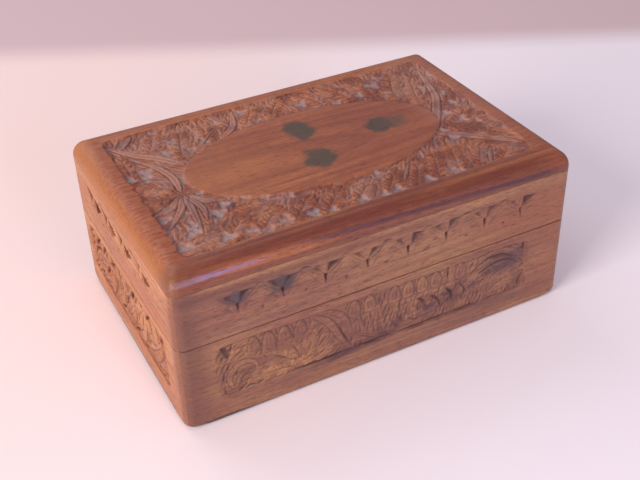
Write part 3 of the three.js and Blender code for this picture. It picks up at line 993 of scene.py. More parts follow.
TOP_WOOD = WoodFinish(
    "oiled_top_wood", Grain.ALONG_X,
    main=tone(154, 82, 56), late=tone(116, 54, 42), pale=tone(176, 104, 64),
    # The top's grey-lilac dust colour stands for dust and painted sheen.
    heart=tone(106, 46, 38), dust_and_sheen=tone(160, 140, 142), dirt_and_shade=tone(72, 34, 36), worn=tone(204, 146, 124),
    pith=(-4, 20), slope=(0, 0.02), heart_share=0.12, streaks_from_top=True, gloss=0.42,
    dirt_and_shade_strength=0.5, mottle=0.65, ring_contrast=0.85,
    streaks=(
        Streak((-20, -52.6), (76, -53.6), 4.2, 0.75, 0.5, tone(112, 60, 54)),
        Streak((-66, -46.8), (76, -49.4), 5.4, 0.9, 0.9, tone(104, 42, 34)),
        Streak((-76, -43), (76, -43.4), 1.6, 0.75, 0.8, tone(100, 44, 42)),
        # Lower front round-over darkened: wood colour, and partly painted shade.
        Streak((-76, -56.6), (76, -56.8), 3.2, 0.9, 0.3, tone(116, 68, 58)),
        # Painted highlight: a lilac reflection along the front round-over at its left end.
        Streak((-96, -52.8), (-44, -52.5), 1.4, 0.85, 0.3, tone(146, 112, 150)),
        Streak((-34, -51.6), (78, -56.2), 1.8, 0.9, 0.3, tone(80, 42, 58))),
    stains=(
        Stain((-38, -2, 62), (16, 22, 9), tone(168, 100, 60), 0.4, 0.8, 0.6),
        Stain((34, 0, 62), (30, 26, 9), tone(138, 70, 58), 0.4, 0.8, 0.6),
        Stain((-10, 35, 61), (60, 11, 9), tone(190, 116, 80), 0.4, 0.5, 0.6),
        Stain((62, 12, 61), (14, 36, 9), tone(186, 128, 108), 0.45, 0.6, 0.6),
        Stain((73, -4, 61), (7, 60, 9), tone(150, 78, 54), 0.4, 0.5, 0.6),
        *(Stain((x, y, 62), (wide, high, 4), tone(76, 64, 54), 0.92, 0.28, 1.3)
          for x, y, wide, high in ((0, 12.2, 5.2, 7.4), (-2.6, -8.6, 5.8, 6.2))),
        Stain((27.2, 1.2, 62), (5, 5.2, 4), tone(72, 60, 56), 0.92, 0.3, 1.3),
        Stain((33, 1, 62), (5.4, 4.2, 4), tone(94, 68, 60), 0.7, 0.5, 1.3),
        # Painted shade: dark purple spots where the deepest cuts of the field lie.
        *(Stain((x, y, 61), (wide, high, 3), tone(66, 42, 70), 0.8, 0.5, 1.2)
          for x, y, wide, high in (
              (-49.5, -24, 1.8, 1.5), (-42.2, -20.6, 1.7, 1.9), (-65, -22.4, 2, 1.6))),
        Stain((-20.5, -36.6, 61), (4.2, 1.2, 3), tone(72, 46, 72), 0.7, 0.5, 1.2),
        Stain((-75.5, 0, 62), (8, 70, 12), tone(180, 114, 62), 0.7, 0.4, 0.3),
        Stain((-69.2, -8, 62), (4.8, 52, 12), tone(146, 56, 18), 0.9, 0.5, 0.4, 0.6),
        Stain((-73, -49, 60), (9, 7, 12), tone(122, 70, 52), 0.7, 0.6, 0.3),
        # Painted highlight: lilac sheen on the round-over at the front-left corner.
        Stain((-67, -49.6, 59.2), (10, 0.9, 0.9), tone(158, 124, 160), 0.6, 0.6, 0.8, 0.6)))
FRONT_WOOD = WoodFinish(
    "oiled_front_wood", Grain.ALONG_X,
    main=tone(148, 96, 78), late=tone(112, 66, 58), pale=tone(168, 118, 84),
    heart=tone(96, 58, 66), dust_and_sheen=tone(84, 52, 56), dirt_and_shade=tone(78, 38, 34), worn=tone(190, 144, 124),
    pith=(-96, 60), slope=(0, -0.01), heart_share=0.3, dirt_and_shade_strength=0.7, gloss=0.33,
    streaks=(
        Streak((-44, 7.8), (2, 10.4), 2.4, 0.95, 1.2, tone(80, 44, 60)),
        Streak((-4, 12), (36, 18.6), 5, 0.9, 2.4, tone(86, 50, 62), 0.9),
        Streak((22, 18), (58, 25.6), 5, 0.9, 2.6, tone(84, 52, 62), 0.9),
        Streak((8, 9.2), (40, 9.6), 1.2, 0.8, 0.6, tone(88, 42, 44), 0.5),
        Streak((-76, 52.6), (20, 53), 1.6, 0.6, 1, tone(112, 62, 52)),
        Streak((-76, 38), (-30, 36.4), 3, 0.3, 2, tone(118, 76, 84)),
        Streak((-76, 52), (-24, 50), 3, 0.4, 2)),
    stains=(
        Stain((-54.4, -50.5, 48), (4.6, 9, 2.6), tone(66, 62, 76), 0.8, 0.5, 1.2),
        Stain((-38.6, -50.5, 47.8), (4.8, 9, 3), tone(58, 56, 66), 0.85, 0.5, 1.2),
        Stain((51, -50.5, 24), (9, 9, 4.4), tone(84, 58, 70), 0.6, 0.6, 1),
        Stain((-36, -50.5, 15), (12, 9, 7), tone(190, 134, 90), 0.6, 0.7, 0.8),
        Stain((58, -50.5, 42), (22, 9, 10), tone(156, 90, 58), 0.55, 0.8, 0.8),
        Stain((71, -50.5, 20), (11, 9, 26), tone(152, 86, 60), 0.4, 0.6),
        Stain((-76, -50.5, 28), (9, 8, 40), tone(112, 70, 60), 0.7),
        # Painted contact shadow under the front's bottom edge at its left end.
        Stain((-62, -50.5, 0), (17, 6, 1.6), tone(40, 14, 36), 1, 0.4, 0.6)))
END_WOOD = WoodFinish(
    "oiled_end_wood", Grain.ALONG_Y,
    main=tone(176, 107, 65), late=tone(138, 72, 40), pale=tone(202, 140, 90),
    heart=tone(140, 80, 54), dust_and_sheen=tone(84, 18, 4), dirt_and_shade=tone(92, 32, 14), worn=tone(216, 158, 124),
    glint=tone(228, 178, 150), pith=(90, 40), slope=(0, 0.02), heart_share=0.1, dust_and_sheen_strength=1,
    mottle=0.45,
    stains=(
        Stain((-76, -50.5, 28), (6, 5, 40), tone(128, 80, 62)),
        # Painted contact shadow along the bottom edge of the left end.
        Stain((-76, 0, 0), (6, 62, 1.8), tone(48, 16, 36), 1, 0.35)))
BOTTOM_WOOD = WoodFinish(
    "sanded_bottom_wood", Grain.ALONG_X,
    main=tone(190, 150, 118), late=tone(150, 108, 80), pale=tone(204, 168, 136),
    heart=tone(140, 98, 78), dust_and_sheen=tone(150, 120, 106), dirt_and_shade=tone(104, 72, 54), worn=tone(206, 170, 138),
    pith=(6, -38), slope=(0.03, 0.12), ring_width=2.8, heart_share=0.08, gloss=0.6)
HINGE_BRASS = BrassFinish("rolled_brass", tone(214, 184, 118), tone(150, 112, 66), 0.32)
SCREW_BRASS = BrassFinish("turned_brass", tone(224, 196, 132), tone(168, 130, 78), 0.26)
PALE_FLOOR = ClothFinish("pale_floor", tone(254, 228, 226), tone(254, 244, 254), tone(220, 193, 200))


@dataclass(frozen=True)
class BoxSizes:
    """Driving sizes of the whole box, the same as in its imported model."""

    length: float = 152.0
    depth: float = 101.0
    base_height: float = 34.0
    frame_top: float = 55.5
    top: float = 62.0
    wall: float = 8.0
    corner: float = 3.5
    rebate: float = 4.0
    bottom: float = 4.0
    fit_gap: float = 0.3
    hinge_axis_y: float = 49.7
    hinge_centre: float = 45.0


SIZES = BoxSizes()


def put_in_order(board: Shape) -> None:
    """Sorts edges and faces by their points, as extruding orders them anew on each run."""
    board.verts.index_update()
    total = len(board.verts)

    def rank(part: bmesh.types.BMEdge | bmesh.types.BMFace) -> int:
        """Gives the place of an edge or a face in the order."""
        points = [vert.index for vert in part.verts]
        return total * min(points) + max(points)

    board.edges.sort(key=rank)
    board.faces.sort(key=rank)


def flat_board(relief: Relief, rim_steps: Sequence[Callable[[Vector], Vector]]) -> Shape:
    """Makes a closed board: the relief's grid, its rim drawn backwards, and a flat back.

    Args:
        relief: Gives the grid.
        rim_steps: For each further rim of the board, where a point of the last rim goes.
            Points are (across, up, depth below the face).

    Returns:
        The board, not yet carved, bent or placed.
    """
    board = bmesh.new()
    bmesh.ops.create_grid(board, x_segments=relief.columns, y_segments=relief.rows, size=0.5)
    size = (relief.high[0] - relief.low[0], relief.high[1] - relief.low[1], 1.0)
    bmesh.ops.scale(board, vec=size, verts=board.verts)
    middle = ((relief.low[0] + relief.high[0]) / 2, (relief.low[1] + relief.high[1]) / 2, 0.0)
    bmesh.ops.translate(board, vec=middle, verts=board.verts)
    rim = [edge for edge in board.edges if edge.is_boundary]
    for step in rim_steps:
        made = bmesh.ops.extrude_edge_only(board, edges=rim)["geom"]
        for vert in (item for item in made if isinstance(item, bmesh.types.BMVert)):
            vert.co = step(vert.co)
        rim = [item for item in made if isinstance(item, bmesh.types.BMEdge) and item.is_boundary]
    bmesh.ops.contextual_create(board, geom=rim)
    backs = [vert for vert in board.verts if vert.co.z > 1.0]
    bmesh.ops.remove_doubles(board, verts=backs, dist=1e-4)
    put_in_order(board)
    return board


def placed_board(name: str, board: Shape, relief: Relief,
                 place: Callable[[np.ndarray], np.ndarray]) -> Piece:
    """Carves a flat board, bends it to its place and makes it an object.

    Args:
        name: Name of the piece.
        board: The board from flat_board, which is freed.
        relief: Its carving.
        place: Takes (across, up, depth) rows to (x, y, z) rows, all in millimetres.

    Returns:
        The object, in metres.
    """
    mesh = bpy.data.meshes.new(name)
    board.to_mesh(mesh)
    board.free()
    count = len(mesh.vertices)
    flat = np.zeros(count * 3)
    mesh.vertices.foreach_get("co", flat)
    flat = flat.reshape(-1, 3)
    face = flat[:, 2] < 1e-6
    column, row = relief.cells(flat[face, :2])
    measured = relief.finished()
    flat[face, 2] = -measured.pop("height")[row, column]
    for label, values in measured.items():
        spread = np.zeros(count, np.float32)
        spread[face] = values[row, column]
        mesh.attributes.new(label, "FLOAT", "POINT").data.foreach_set("value", spread)
    mesh.vertices.foreach_set("co", (place(flat) * MM).ravel())
    tidy = bmesh.new()
    tidy.from_mesh(mesh)
    bmesh.ops.dissolve_degenerate(tidy, edges=tidy.edges, dist=1e-7)
    bmesh.ops.recalc_face_normals(tidy, faces=tidy.faces)
    tidy.to_mesh(mesh)
    tidy.free()
    return shown(name, mesh)


def shown(name: str, mesh: bpy.types.Mesh, crease_degrees: float = WOOD_CREASE) -> Piece:
    """Puts a mesh into the scene, smooth but for its sharp edges.

    Args:
        name: Name of the piece.
        mesh: Its mesh, in metres, already in place.
        crease_degrees: Angle from which an edge stays sharp.

    Returns:
        The object, at the origin.
    """
    piece = bpy.data.objects.new(name, mesh)
    bpy.context.scene.collection.objects.link(piece)
    shade(piece, crease_degrees)
    return piece


def shade(piece: Piece, crease_degrees: float) -> None:
    """Shades a piece smooth but for edges that turn by at least an angle."""
    piece.data.shade_smooth()
    piece.data.set_sharp_from_angle(angle=math.radians(crease_degrees))


def combined(piece: Piece, tools: Sequence[Piece], crease_degrees: float,
             operation: str = "DIFFERENCE") -> None:
    """Cuts other solids out of a piece, or joins them to it, and deletes them.

    Args:
        piece: What is changed.
        tools: Closed solids in the same place.
        crease_degrees: Angle from which an edge stays sharp.
        operation: The boolean's operation.
    """
    for tool in tools:
        step = piece.modifiers.new("combine", "BOOLEAN")
        step.operation = operation
        step.solver = "MANIFOLD"
        step.object = tool
    settle(piece)
    for tool in tools:
        bpy.data.objects.remove(tool)
    shade(piece, crease_degrees)


def settle(piece: Piece) -> None:
    """Makes the shape that the modifiers of a piece give its own mesh.

    Args:
        piece: The piece, which has no modifiers afterwards.
    """
    bpy.context.view_layer.update()
    seen = piece.evaluated_get(bpy.context.evaluated_depsgraph_get())
    mesh = bpy.data.meshes.new_from_object(seen)
    piece.modifiers.clear()
    piece.data = mesh


def dressed(piece: Piece, material: Material, slot: str, body: Level,
            *nodes: str) -> Piece:
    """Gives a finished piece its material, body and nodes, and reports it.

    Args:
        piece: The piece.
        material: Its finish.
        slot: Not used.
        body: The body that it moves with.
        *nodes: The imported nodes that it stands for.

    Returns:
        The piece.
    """
    piece.data.materials.clear()
    piece.data.materials.append(material)
    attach(piece, body.value)
    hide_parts(*nodes)
    LOG.info("%s: %d faces", piece.name, len(piece.data.polygons))
    return piece


@dataclass
class PetalBand:
    """The row of lotus petals round the lid: chips between their shoulders, a nick below each.

    A side cut has its points outwards from the petal's middle, its width, depth and lean.
    """

    centres: tuple[float, ...]
    left_wing: tuple[Point, Point, Point]
    right_wing: tuple[Point, Point, Point]
    row: float = 46.0
    depth: float = 1.35
    nick: float = 1.0
    wing_shares: Point = (0.6, 1.1)
    side_cuts: tuple[tuple[Line, float, float, float], ...] = (
        (((0.9, 0.1), (3.6, 1.6), (6.9, 4.6)), 1.2, 0.34, -0.5),
        (((1.6, -3.6), (3.4, -1.6), (6.4, -0.9)), 1.1, 0.28, 0.5),
        (((3.8, 0.2), (6.8, 2.4)), 0.9, 0.3, 0.0),
        (((2.4, -0.9), (4.6, -0.3)), 0.8, 0.3, 0.0))

    def carve(self, relief: Relief, seed: int) -> None:
        """Cuts the row.

        Args:
            relief: Face of the lid wall.
            seed: Start of the carver's small variations.
        """
        luck = np.random.default_rng(seed)
        for centre in self.centres:
            x = centre + luck.uniform(-0.3, 0.3)
            z = self.row + luck.uniform(-0.25, 0.25)
            for wing, share in zip((self.left_wing, self.right_wing), self.wing_shares):
                tilt = luck.uniform(-0.5, 0.5, (3, 2))
                corners = np.array(wing) + tilt + (x, z)
                middle = corners.mean(0)
                deepest = middle + 0.25 * (corners[np.abs(corners[:, 0] - x).argmax()] - middle)
                relief.chip(corners, deepest, self.depth * share * luck.uniform(0.75, 1.15))
            for side in (-1.0, 1.0):
                for line, width, depth, lean in self.side_cuts:
                    relief.groove([(x + side * out, z + up) for out, up in line], width, depth, lean * side)
            low = (x + luck.uniform(-0.4, 0.4), z - 3.2 * self.nick - 1.2)
            nick = [(x - 0.85, z + 0.4), low, (x + 0.85, z + 0.4)]
            relief.chip(nick, (x, z - 0.9), self.depth * self.nick)
        for left, right in zip(self.centres, self.centres[1:]):
            x = (left + right) / 2 + luck.uniform(-0.5, 0.5)
            z = self.row - 4.0 + luck.uniform(-0.4, 0.4)
            speck = [(x - 1.5, z + 0.5), (x + 0.4, z - 0.9), (x + 1.3, z + 0.8)]
            relief.chip(speck, (x + 0.2, z + 0.2), 0.5)
            arc = [(x - 2.4, self.row + 4.4), (x, self.row + 5.1), (x + 2.4, self.row + 4.5)]
            relief.groove(arc, 0.9, 0.5)


@dataclass
class VinePanel:
    """A sunk panel of the base, filled with a scrolling vine under a row of small petals."""

    left: float
    right: float
    low: float
    high: float
    petals: tuple[float, ...]
    scrolls: tuple[tuple[Line, float], ...]
    cuts: tuple[tuple[Line, float, float], ...]
    lie: Lie
    depth: float = 0.4
    overlap: float = 0.3
    lobed: bool = True
    slimmest_frond: float = 3.2
    petal: LeafStyle = LeafStyle(
        width=4.8, crease=0.0, vein_pitch=0.9, vein_depth=0.15, fullness=0.62, blunt=0.5, top=0.08,
        moat=1.5, moat_width=0.4)
    scroll: LeafStyle = LeafStyle(
        crease=0.3, vein_depth=0.15, lobe_depth=0.14, blunt=0.6, top=0.04, moat=1.6, moat_width=0.4)
    lobe: LeafStyle = LeafStyle(
        width=1.6, crease=0.26, vein_depth=0.0, fullness=1.3, blunt=0.6, top=0.04, moat=1.2,
        moat_width=0.3)
    strokes: tuple[Stroke, ...] = (Stroke(5.2, 1.3, 0.42), Stroke(3.2, 1.0, 0.34))

    def carve(self, relief: Relief, seed: int) -> None:
        """Sinks the panel and carves its leaves.

        Args:
            relief: Face of the base wall.
            seed: Start of the carver's small variations.
        """
        luck = np.random.default_rng(seed)
        middle_x = (self.left + self.right) / 2
        middle_y = (self.low + self.high) / 2
        from_side = (self.right - self.left) / 2 - np.abs(relief.x - middle_x)
        from_edge = (self.high - self.low) / 2 - np.abs(relief.y - middle_y)
        inside = rounded_inside(0.3 * from_side, from_edge, 1.5)
        relief.sink(inside, self.depth, 0.5)
        for x in self.petals:
            tip = (x + luck.uniform(-0.4, 0.4), self.high - 0.2)
            relief.leaf([(x, self.high - 7.0), (x, self.high - 4.0), tip], self.petal)
            relief.groove([(x - 0.7, self.high - 6.0), (x - 0.6, self.high - 2.6)], 0.7, 0.25)
            relief.groove([(x + 0.7, self.high - 5.6), (x + 0.6, self.high - 2.4)], 0.7, 0.25)
        for line, width in self.scrolls:
            if self.lobed and width > self.slimmest_frond:
                relief.frond(line, self.scroll, width, self.lobe)
            else:
                relief.leaf(line, self.scroll, width)
        relief.hatch(inside + self.overlap, self.lie, self.strokes, seed)
        for line, width, depth in self.cuts:
            relief.groove(line, width, depth)


def rounded_inside(from_side: np.ndarray, from_edge: np.ndarray, radius: float) -> np.ndarray:
    """Distance to the edge of an upright oblong with rounded corners.

    Args:
        from_side: Distance inwards from the nearer of its left and right sides.
        from_edge: Distance inwards from the nearer of its other two sides.
        radius: Radius of its corners.

    Returns:
        Distance to the rounded edge, positive inside.
    """
    corner_x = np.maximum(radius - from_side, 0.0)
    corner_y = np.maximum(radius - from_edge, 0.0)
    rounded = radius - np.hypot(corner_x, corner_y)
    return np.where((corner_x > 0) & (corner_y > 0), rounded, np.minimum(from_side, from_edge))


LONG_BAND = PetalBand(
    tuple(-54.1 + 15.53 * i for i in range(8)),
    ((-6.3, 4.3), (-0.3, 0.1), (-0.9, 4.6)), ((0.3, 0.1), (6.3, 4.3), (0.9, 4.6)))
END_BAND = PetalBand(
    (-26.8, -10.6, 5.2, 22.6),
    ((-7.2, 5), (-2.8, -0.2), (-0.4, 3.6)), ((2.2, -2.4), (8.4, 1.4), (0.2, 3.8)), depth=2.1, nick=0.5)
LONG_PANEL = VinePanel(
    -63.1, 59.3, 9.3, 30.7,
    petals=(-50, -44.6, -39, -33, -12.5, -6.5, 3.3, 8.8, 14.6, 20.2, 30.5),
    scrolls=(
        ([(-58, 11), (-59.3, 16.5), (-55.5, 21), (-50.5, 20.2), (-49.4, 16), (-52.6, 14.2)], 2.3),
        ([(-34.6, 12.6), (-40, 17.4), (-47.2, 22)], 5),
        ([(-35, 11.4), (-41, 12.6), (-48, 11.6)], 4.4),
        ([(-33.6, 13), (-34.6, 18), (-38.6, 23.8)], 4),
        ([(-32.6, 12.8), (-29.6, 17.6), (-29.8, 23.6)], 4.4),
        ([(-31.6, 11.6), (-26.8, 12.6), (-21, 16.4)], 4.2),
        ([(-28, 29.6), (-22.5, 25), (-18.5, 17.5), (-14.6, 10.4)], 3),
        ([(-23, 29.8), (-18, 26.6), (-14.6, 20.6), (-14, 15.2)], 2.4),
        ([(-12.8, 15.4), (-7, 12.4), (-1, 10.8), (6, 11.2)], 2.2),
        ([(6, 12), (14, 13), (22, 17), (28, 23.4)], 3),
        ([(26, 14), (33, 19.4), (41, 23.6), (49, 24.6), (56, 21.6)], 3.2),
        ([(39, 29.2), (48, 29.4), (54, 27.4), (57.8, 23.6)], 2.4),
        ([(42, 11.6), (48, 15.8), (57.2, 17)], 5.2)),
    cuts=(
        ([(-39, 10), (-26, 9.7), (-13, 9.9)], 1, 0.8),
        ([(-14, 10), (-6, 9.7), (3, 10.1)], 1, 0.9),
        ([(6, 9.9), (16, 9.6), (27, 9.9)], 0.9, 0.6),
        ([(27, 9.8), (32, 9.6), (37, 9.8)], 0.8, 0.5),
        ([(-62, 30.5), (-50, 30.7), (-38, 30.5)], 0.8, 0.5),
        ([(12.6, 21.6), (15.4, 19), (16.4, 16)], 1.4, 0.9),
        ([(18, 20.6), (21.4, 17.6), (22.6, 14)], 1.4, 0.9),
        ([(24.4, 21.4), (27, 18.6), (27.4, 15)], 1.6, 1),
        ([(30, 21.6), (32.4, 18.6), (33, 15)], 1.2, 0.8),
        ([(38.4, 26), (43, 27.6), (49, 26.6)], 1.4, 0.9),
        ([(-61.4, 30.2), (-60, 28), (-59, 24.6)], 3, 1.1),
        ([(-57.6, 30.2), (-58.4, 27)], 1.2, 0.8),
        ([(-19.8, 24), (-16.6, 17), (-13.6, 10.6)], 0.9, 0.7),
        ([(-12.6, 15.6), (-6.6, 12), (-1.6, 10.4)], 0.8, 0.6),
        ([(38, 22.2), (44, 24.6), (51, 24.4), (56.6, 20.8)], 1.3, 0.8),
        ([(40.6, 28.2), (48, 27.6), (55, 24.2)], 1, 0.7),
        ([(57.6, 29.8), (58.2, 26.6)], 1.6, 0.9),
        ([(56.8, 10.6), (57.8, 15)], 1.6, 0.9),
        ([(25.4, 30.4), (25.2, 25)], 0.9, 0.8),
        ([(9, 14), (12, 12.4), (16, 12.2)], 1, 0.6)),
    lie=Lie((
        (-60, 14, 80), (-54, 24, 40), (-50, 12, 10), (-40, 24, 110),
        (-36, 10.5, -10), (-26, 20, 60), (-24, 11, 30), (-8, 20, 86),
        (0, 16, 84), (8, 20, 86), (14, 24, 84), (16, 10, 60),
        (20, 20, 75), (33, 12, 75), (30, 26, 55), (36, 27, 50), (44, 19, 30),
        (52, 12, 70), (55, 29, -30))))
END_PANEL = VinePanel(
    -42.9, 37.6, 9, 30.2,
    petals=(-35, -26.4, -18.5, -11, -3, 4.6, 19.6, 27),
    scrolls=(
        ([(-40.6, 13), (-38, 18.6), (-33, 21.8), (-27, 22.4)], 3.2),
        ([(-36, 10.4), (-31, 14.6), (-23.6, 16.8)], 4.6),
        ([(-22, 10.6), (-18, 16), (-17, 22.6)], 4.4),
        ([(-14, 11), (-8, 15.6), (-5.4, 22.8)], 4.6),
        ([(-4, 10.6), (2, 13.6), (6.6, 20.6)], 4.4),
        ([(8, 11), (14, 15), (17, 22)], 4.4),
        ([(18, 10.8), (25, 13.6), (31.6, 20), (33.6, 26)], 4.6)),
    cuts=(
        ([(-41.4, 13.4), (-37.6, 20.6), (-31, 23.8)], 2.2, 1.2),
        ([(-34.8, 24.4), (-31.6, 29)], 2.4, 1.3),
        ([(-27.2, 24.6), (-24.2, 29)], 2.4, 1.3),
        ([(-20, 24), (-14, 27.4)], 1.8, 0.9),
        ([(3, 24), (6.4, 28.8)], 3.4, 1.5),
        ([(18.2, 25.4), (21.8, 28.8)], 2.2, 1.2),
        ([(12.4, 26.4), (14.4, 28.8)], 1.8, 1),
        ([(31.2, 25.2), (34.8, 28.8)], 3.4, 1.5),
        ([(34.2, 20), (36.6, 25.4)], 2.2, 1.2),
        ([(-26.8, 15.6), (-24, 20.2)], 2.2, 1.2),
        ([(-4.6, 16.4), (-2.4, 21.4)], 2, 1.1),
        ([(-10.6, 10.8), (-7.2, 13.6)], 2.2, 1),
        ([(-38, 9.8), (-31, 13.6)], 2, 1.1),
        ([(2, 9.8), (6.8, 12.2)], 2.2, 1)),
    lie=Lie((
        (-38, 24, 50), (-30, 11, 25), (-22, 22, 70), (-10, 20, 60),
        (0, 21, 55), (12, 11, 30), (12, 24, 60), (26, 22, 50),
        (30, 12, 35))),
    depth=0.55, lobed=False, strokes=(Stroke(7, 2.4, 0.5), Stroke(4, 1.6, 0.34)))


@dataclass
class CarvedWall:
    """One wall of a frame, mitred at both ends, with its outer face carved."""

    side: Side
    level: Level
    sizes: BoxSizes = SIZES
    pitch: float = 0.27
    joint: float = 0.02
    inner_bevel: float = 0.45
    arris: float = 0.35
    foot_arris: float = 1.4
    turning_room: float = 0.1
    back_lean: float = 0.784
    seam: float = 0.85
    seam_on_ends: float = 0.45
    # Strength of the painted contact shadow along the foot of the base walls.
    foot_shadow_strength: float = 0.8
    bent_depth: float = 2.2
    coarser_behind: float = 1.3

    @property
    def name(self) -> str:
        """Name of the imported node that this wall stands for."""
        return f"{self.level.value}_{self.side.name.lower()}_wall"

    @property
    def half(self) -> float:
        """Half the length of this side of the box."""
        return (self.sizes.depth if self.side.is_end else self.sizes.length) / 2

    @property
    def face(self) -> float:
        """Distance from the middle of the box to this wall's outer face."""
        return (self.sizes.length if self.side.is_end else self.sizes.depth) / 2

    @property
    def low(self) -> float:
        """Height of the wall's lower edge."""
        return 0.0 if self.level is Level.BASE else self.sizes.base_height

    @property
    def high(self) -> float:
        """Height of the wall's upper edge."""
        return self.sizes.base_height if self.level is Level.BASE else self.sizes.frame_top

    @property
    def reach(self) -> float:
        """Half the length of the face, measured round its corners to the mitres."""
        return self.half - self.sizes.corner + self.sizes.corner * math.pi / 4 - self.joint / 2

    def carve(self) -> Relief:
        """Carves the outer face.

        Returns:
            The relief, in (along the wall, height) from the left as seen from outside.
        """
        seen_first = self.side in (Side.FRONT, Side.LEFT)
        pitch = self.pitch if seen_first else self.coarser_behind * self.pitch
        relief = Relief((-self.reach, self.low), (self.reach, self.high), pitch)
        seed = 11 + 7 * list(Side).index(self.side)
        if self.level is Level.LID:
            (END_BAND if self.side.is_end else LONG_BAND).carve(relief, seed)
        else:
            (END_PANEL if self.side.is_end else LONG_PANEL).carve(relief, seed + 100)
        lower = (relief.y - self.low, self._lower_arris(relief.x))
        upper = (self.high - relief.y, self.arris)
        for edge, radius in (lower, upper):
            short = np.clip(radius - edge, 0.0, radius)
            relief.rounding -= radius - np.sqrt(np.maximum(radius ** 2 - short ** 2, 0.0))
        firm = self.seam_on_ends if self.side.is_end else self.seam
        parting = firm * (1.0 - smooth_step(0.1, 0.45, np.abs(relief.y - self.sizes.base_height)))
        # Painted contact shadow in the lowest millimetre or so of each base wall, carried with the seams.
        foot = self.foot_shadow_strength * (1.0 - smooth_step(0.6, 1.3, relief.y))
        relief.seam = np.maximum(parting, foot)
        if self.side is Side.BACK:
            self._bevel_back(relief)
        return relief

    def _lower_arris(self, along: np.ndarray) -> np.ndarray | float:
        """Radius of the lower outer edge, which is worn where the box stands, most at its corners.

        Args:
            along: Places along the wall.

        Returns:
            The radius at each of them.
        """
        if self.level is Level.LID:
            return self.arris
        return self.foot_arris * (1.0 + smooth_step(-9.0, 0.0, np.abs(along) - self.reach))

    def _bevel_back(self, relief: Relief) -> None:
        """Takes off the edge behind the hinge pins, so that the lid can turn.

        Args:
            relief: Face of the back wall.
        """
        radius = self.sizes.corner
        round_way = np.clip(np.abs(relief.x) - (self.half - radius), 0.0, None) / radius
        outermost = self.face - radius + radius * np.cos(round_way)
        away = np.abs(relief.y - self.sizes.base_height)
        past_pins = outermost + self.turning_room - self.sizes.hinge_axis_y
        cut = np.maximum(past_pins - away * self.back_lean, 0.0)
        relief.rounding = np.minimum(relief.rounding, -cut)

    def rim_steps(self) -> list[Callable[[Vector], Vector]]:
        """Draws the wall's other sides from the rim of its face.

        Returns:
            The steps for flat_board.
        """
        bevel = self.inner_bevel
        wall = self.sizes.wall
        shelf = self.sizes.bottom + self.sizes.fit_gap / 2
        if self.level is Level.LID:
            floor = self.low
            steps = []
        else:
            floor = shelf
            steps = [
                lambda at: Vector((at.x, at.y, self.sizes.rebate)),
                lambda at: Vector((at.x, max(at.y, shelf), self.sizes.rebate))]
        return [
            *steps,
            lambda at: Vector((at.x, at.y, wall - bevel)),
            lambda at: Vector((at.x, min(max(at.y, floor + bevel), self.high - bevel), wall))]

    def place(self, flat: np.ndarray) -> np.ndarray:
        """Bends the flat wall round its corners and turns it to its side.

        Args:
            flat: Rows of (along the wall, height, depth below the face).

        Returns:
            Rows of (x, y, z).
        """
        along, height, depth = flat.T
        radius = self.sizes.corner
        straight = self.half - radius
        angle = np.clip(np.abs(along) - straight, 0.0, None) / radius
        bent_x = np.sign(along) * (np.minimum(np.abs(along), straight) + (radius - depth) * np.sin(angle))
        bent_y = radius - self.face - (radius - depth) * np.cos(angle)
        plain_x = along / self.reach * (self.half - depth - self.joint / 2)
        plain_y = depth - self.face
        outer = depth < self.bent_depth
        x = np.where(outer, bent_x, plain_x)
        y = np.where(outer, bent_y, plain_y)
        turn = math.radians(self.side.value)
        return np.column_stack([
            x * math.cos(turn) - y * math.sin(turn), x * math.sin(turn) + y * math.cos(turn), height])

    def build(self, material: Material, slot: str) -> Piece:
        """Makes the wall.

        Args:
            material: Its finish.
            slot: Passed on to dressed.

        Returns:
            The finished piece.
        """
        relief = self.carve()
        board = flat_board(relief, self.rim_steps())
        piece = placed_board(f"carved_{self.name}", board, relief, self.place)
        if self.side is Side.BACK:
            pockets = [tool for hinge in HINGES for tool in hinge.pockets(self.level)]
            combined(piece, pockets, WOOD_CREASE)
        return dressed(piece, material, slot, self.level, self.name)


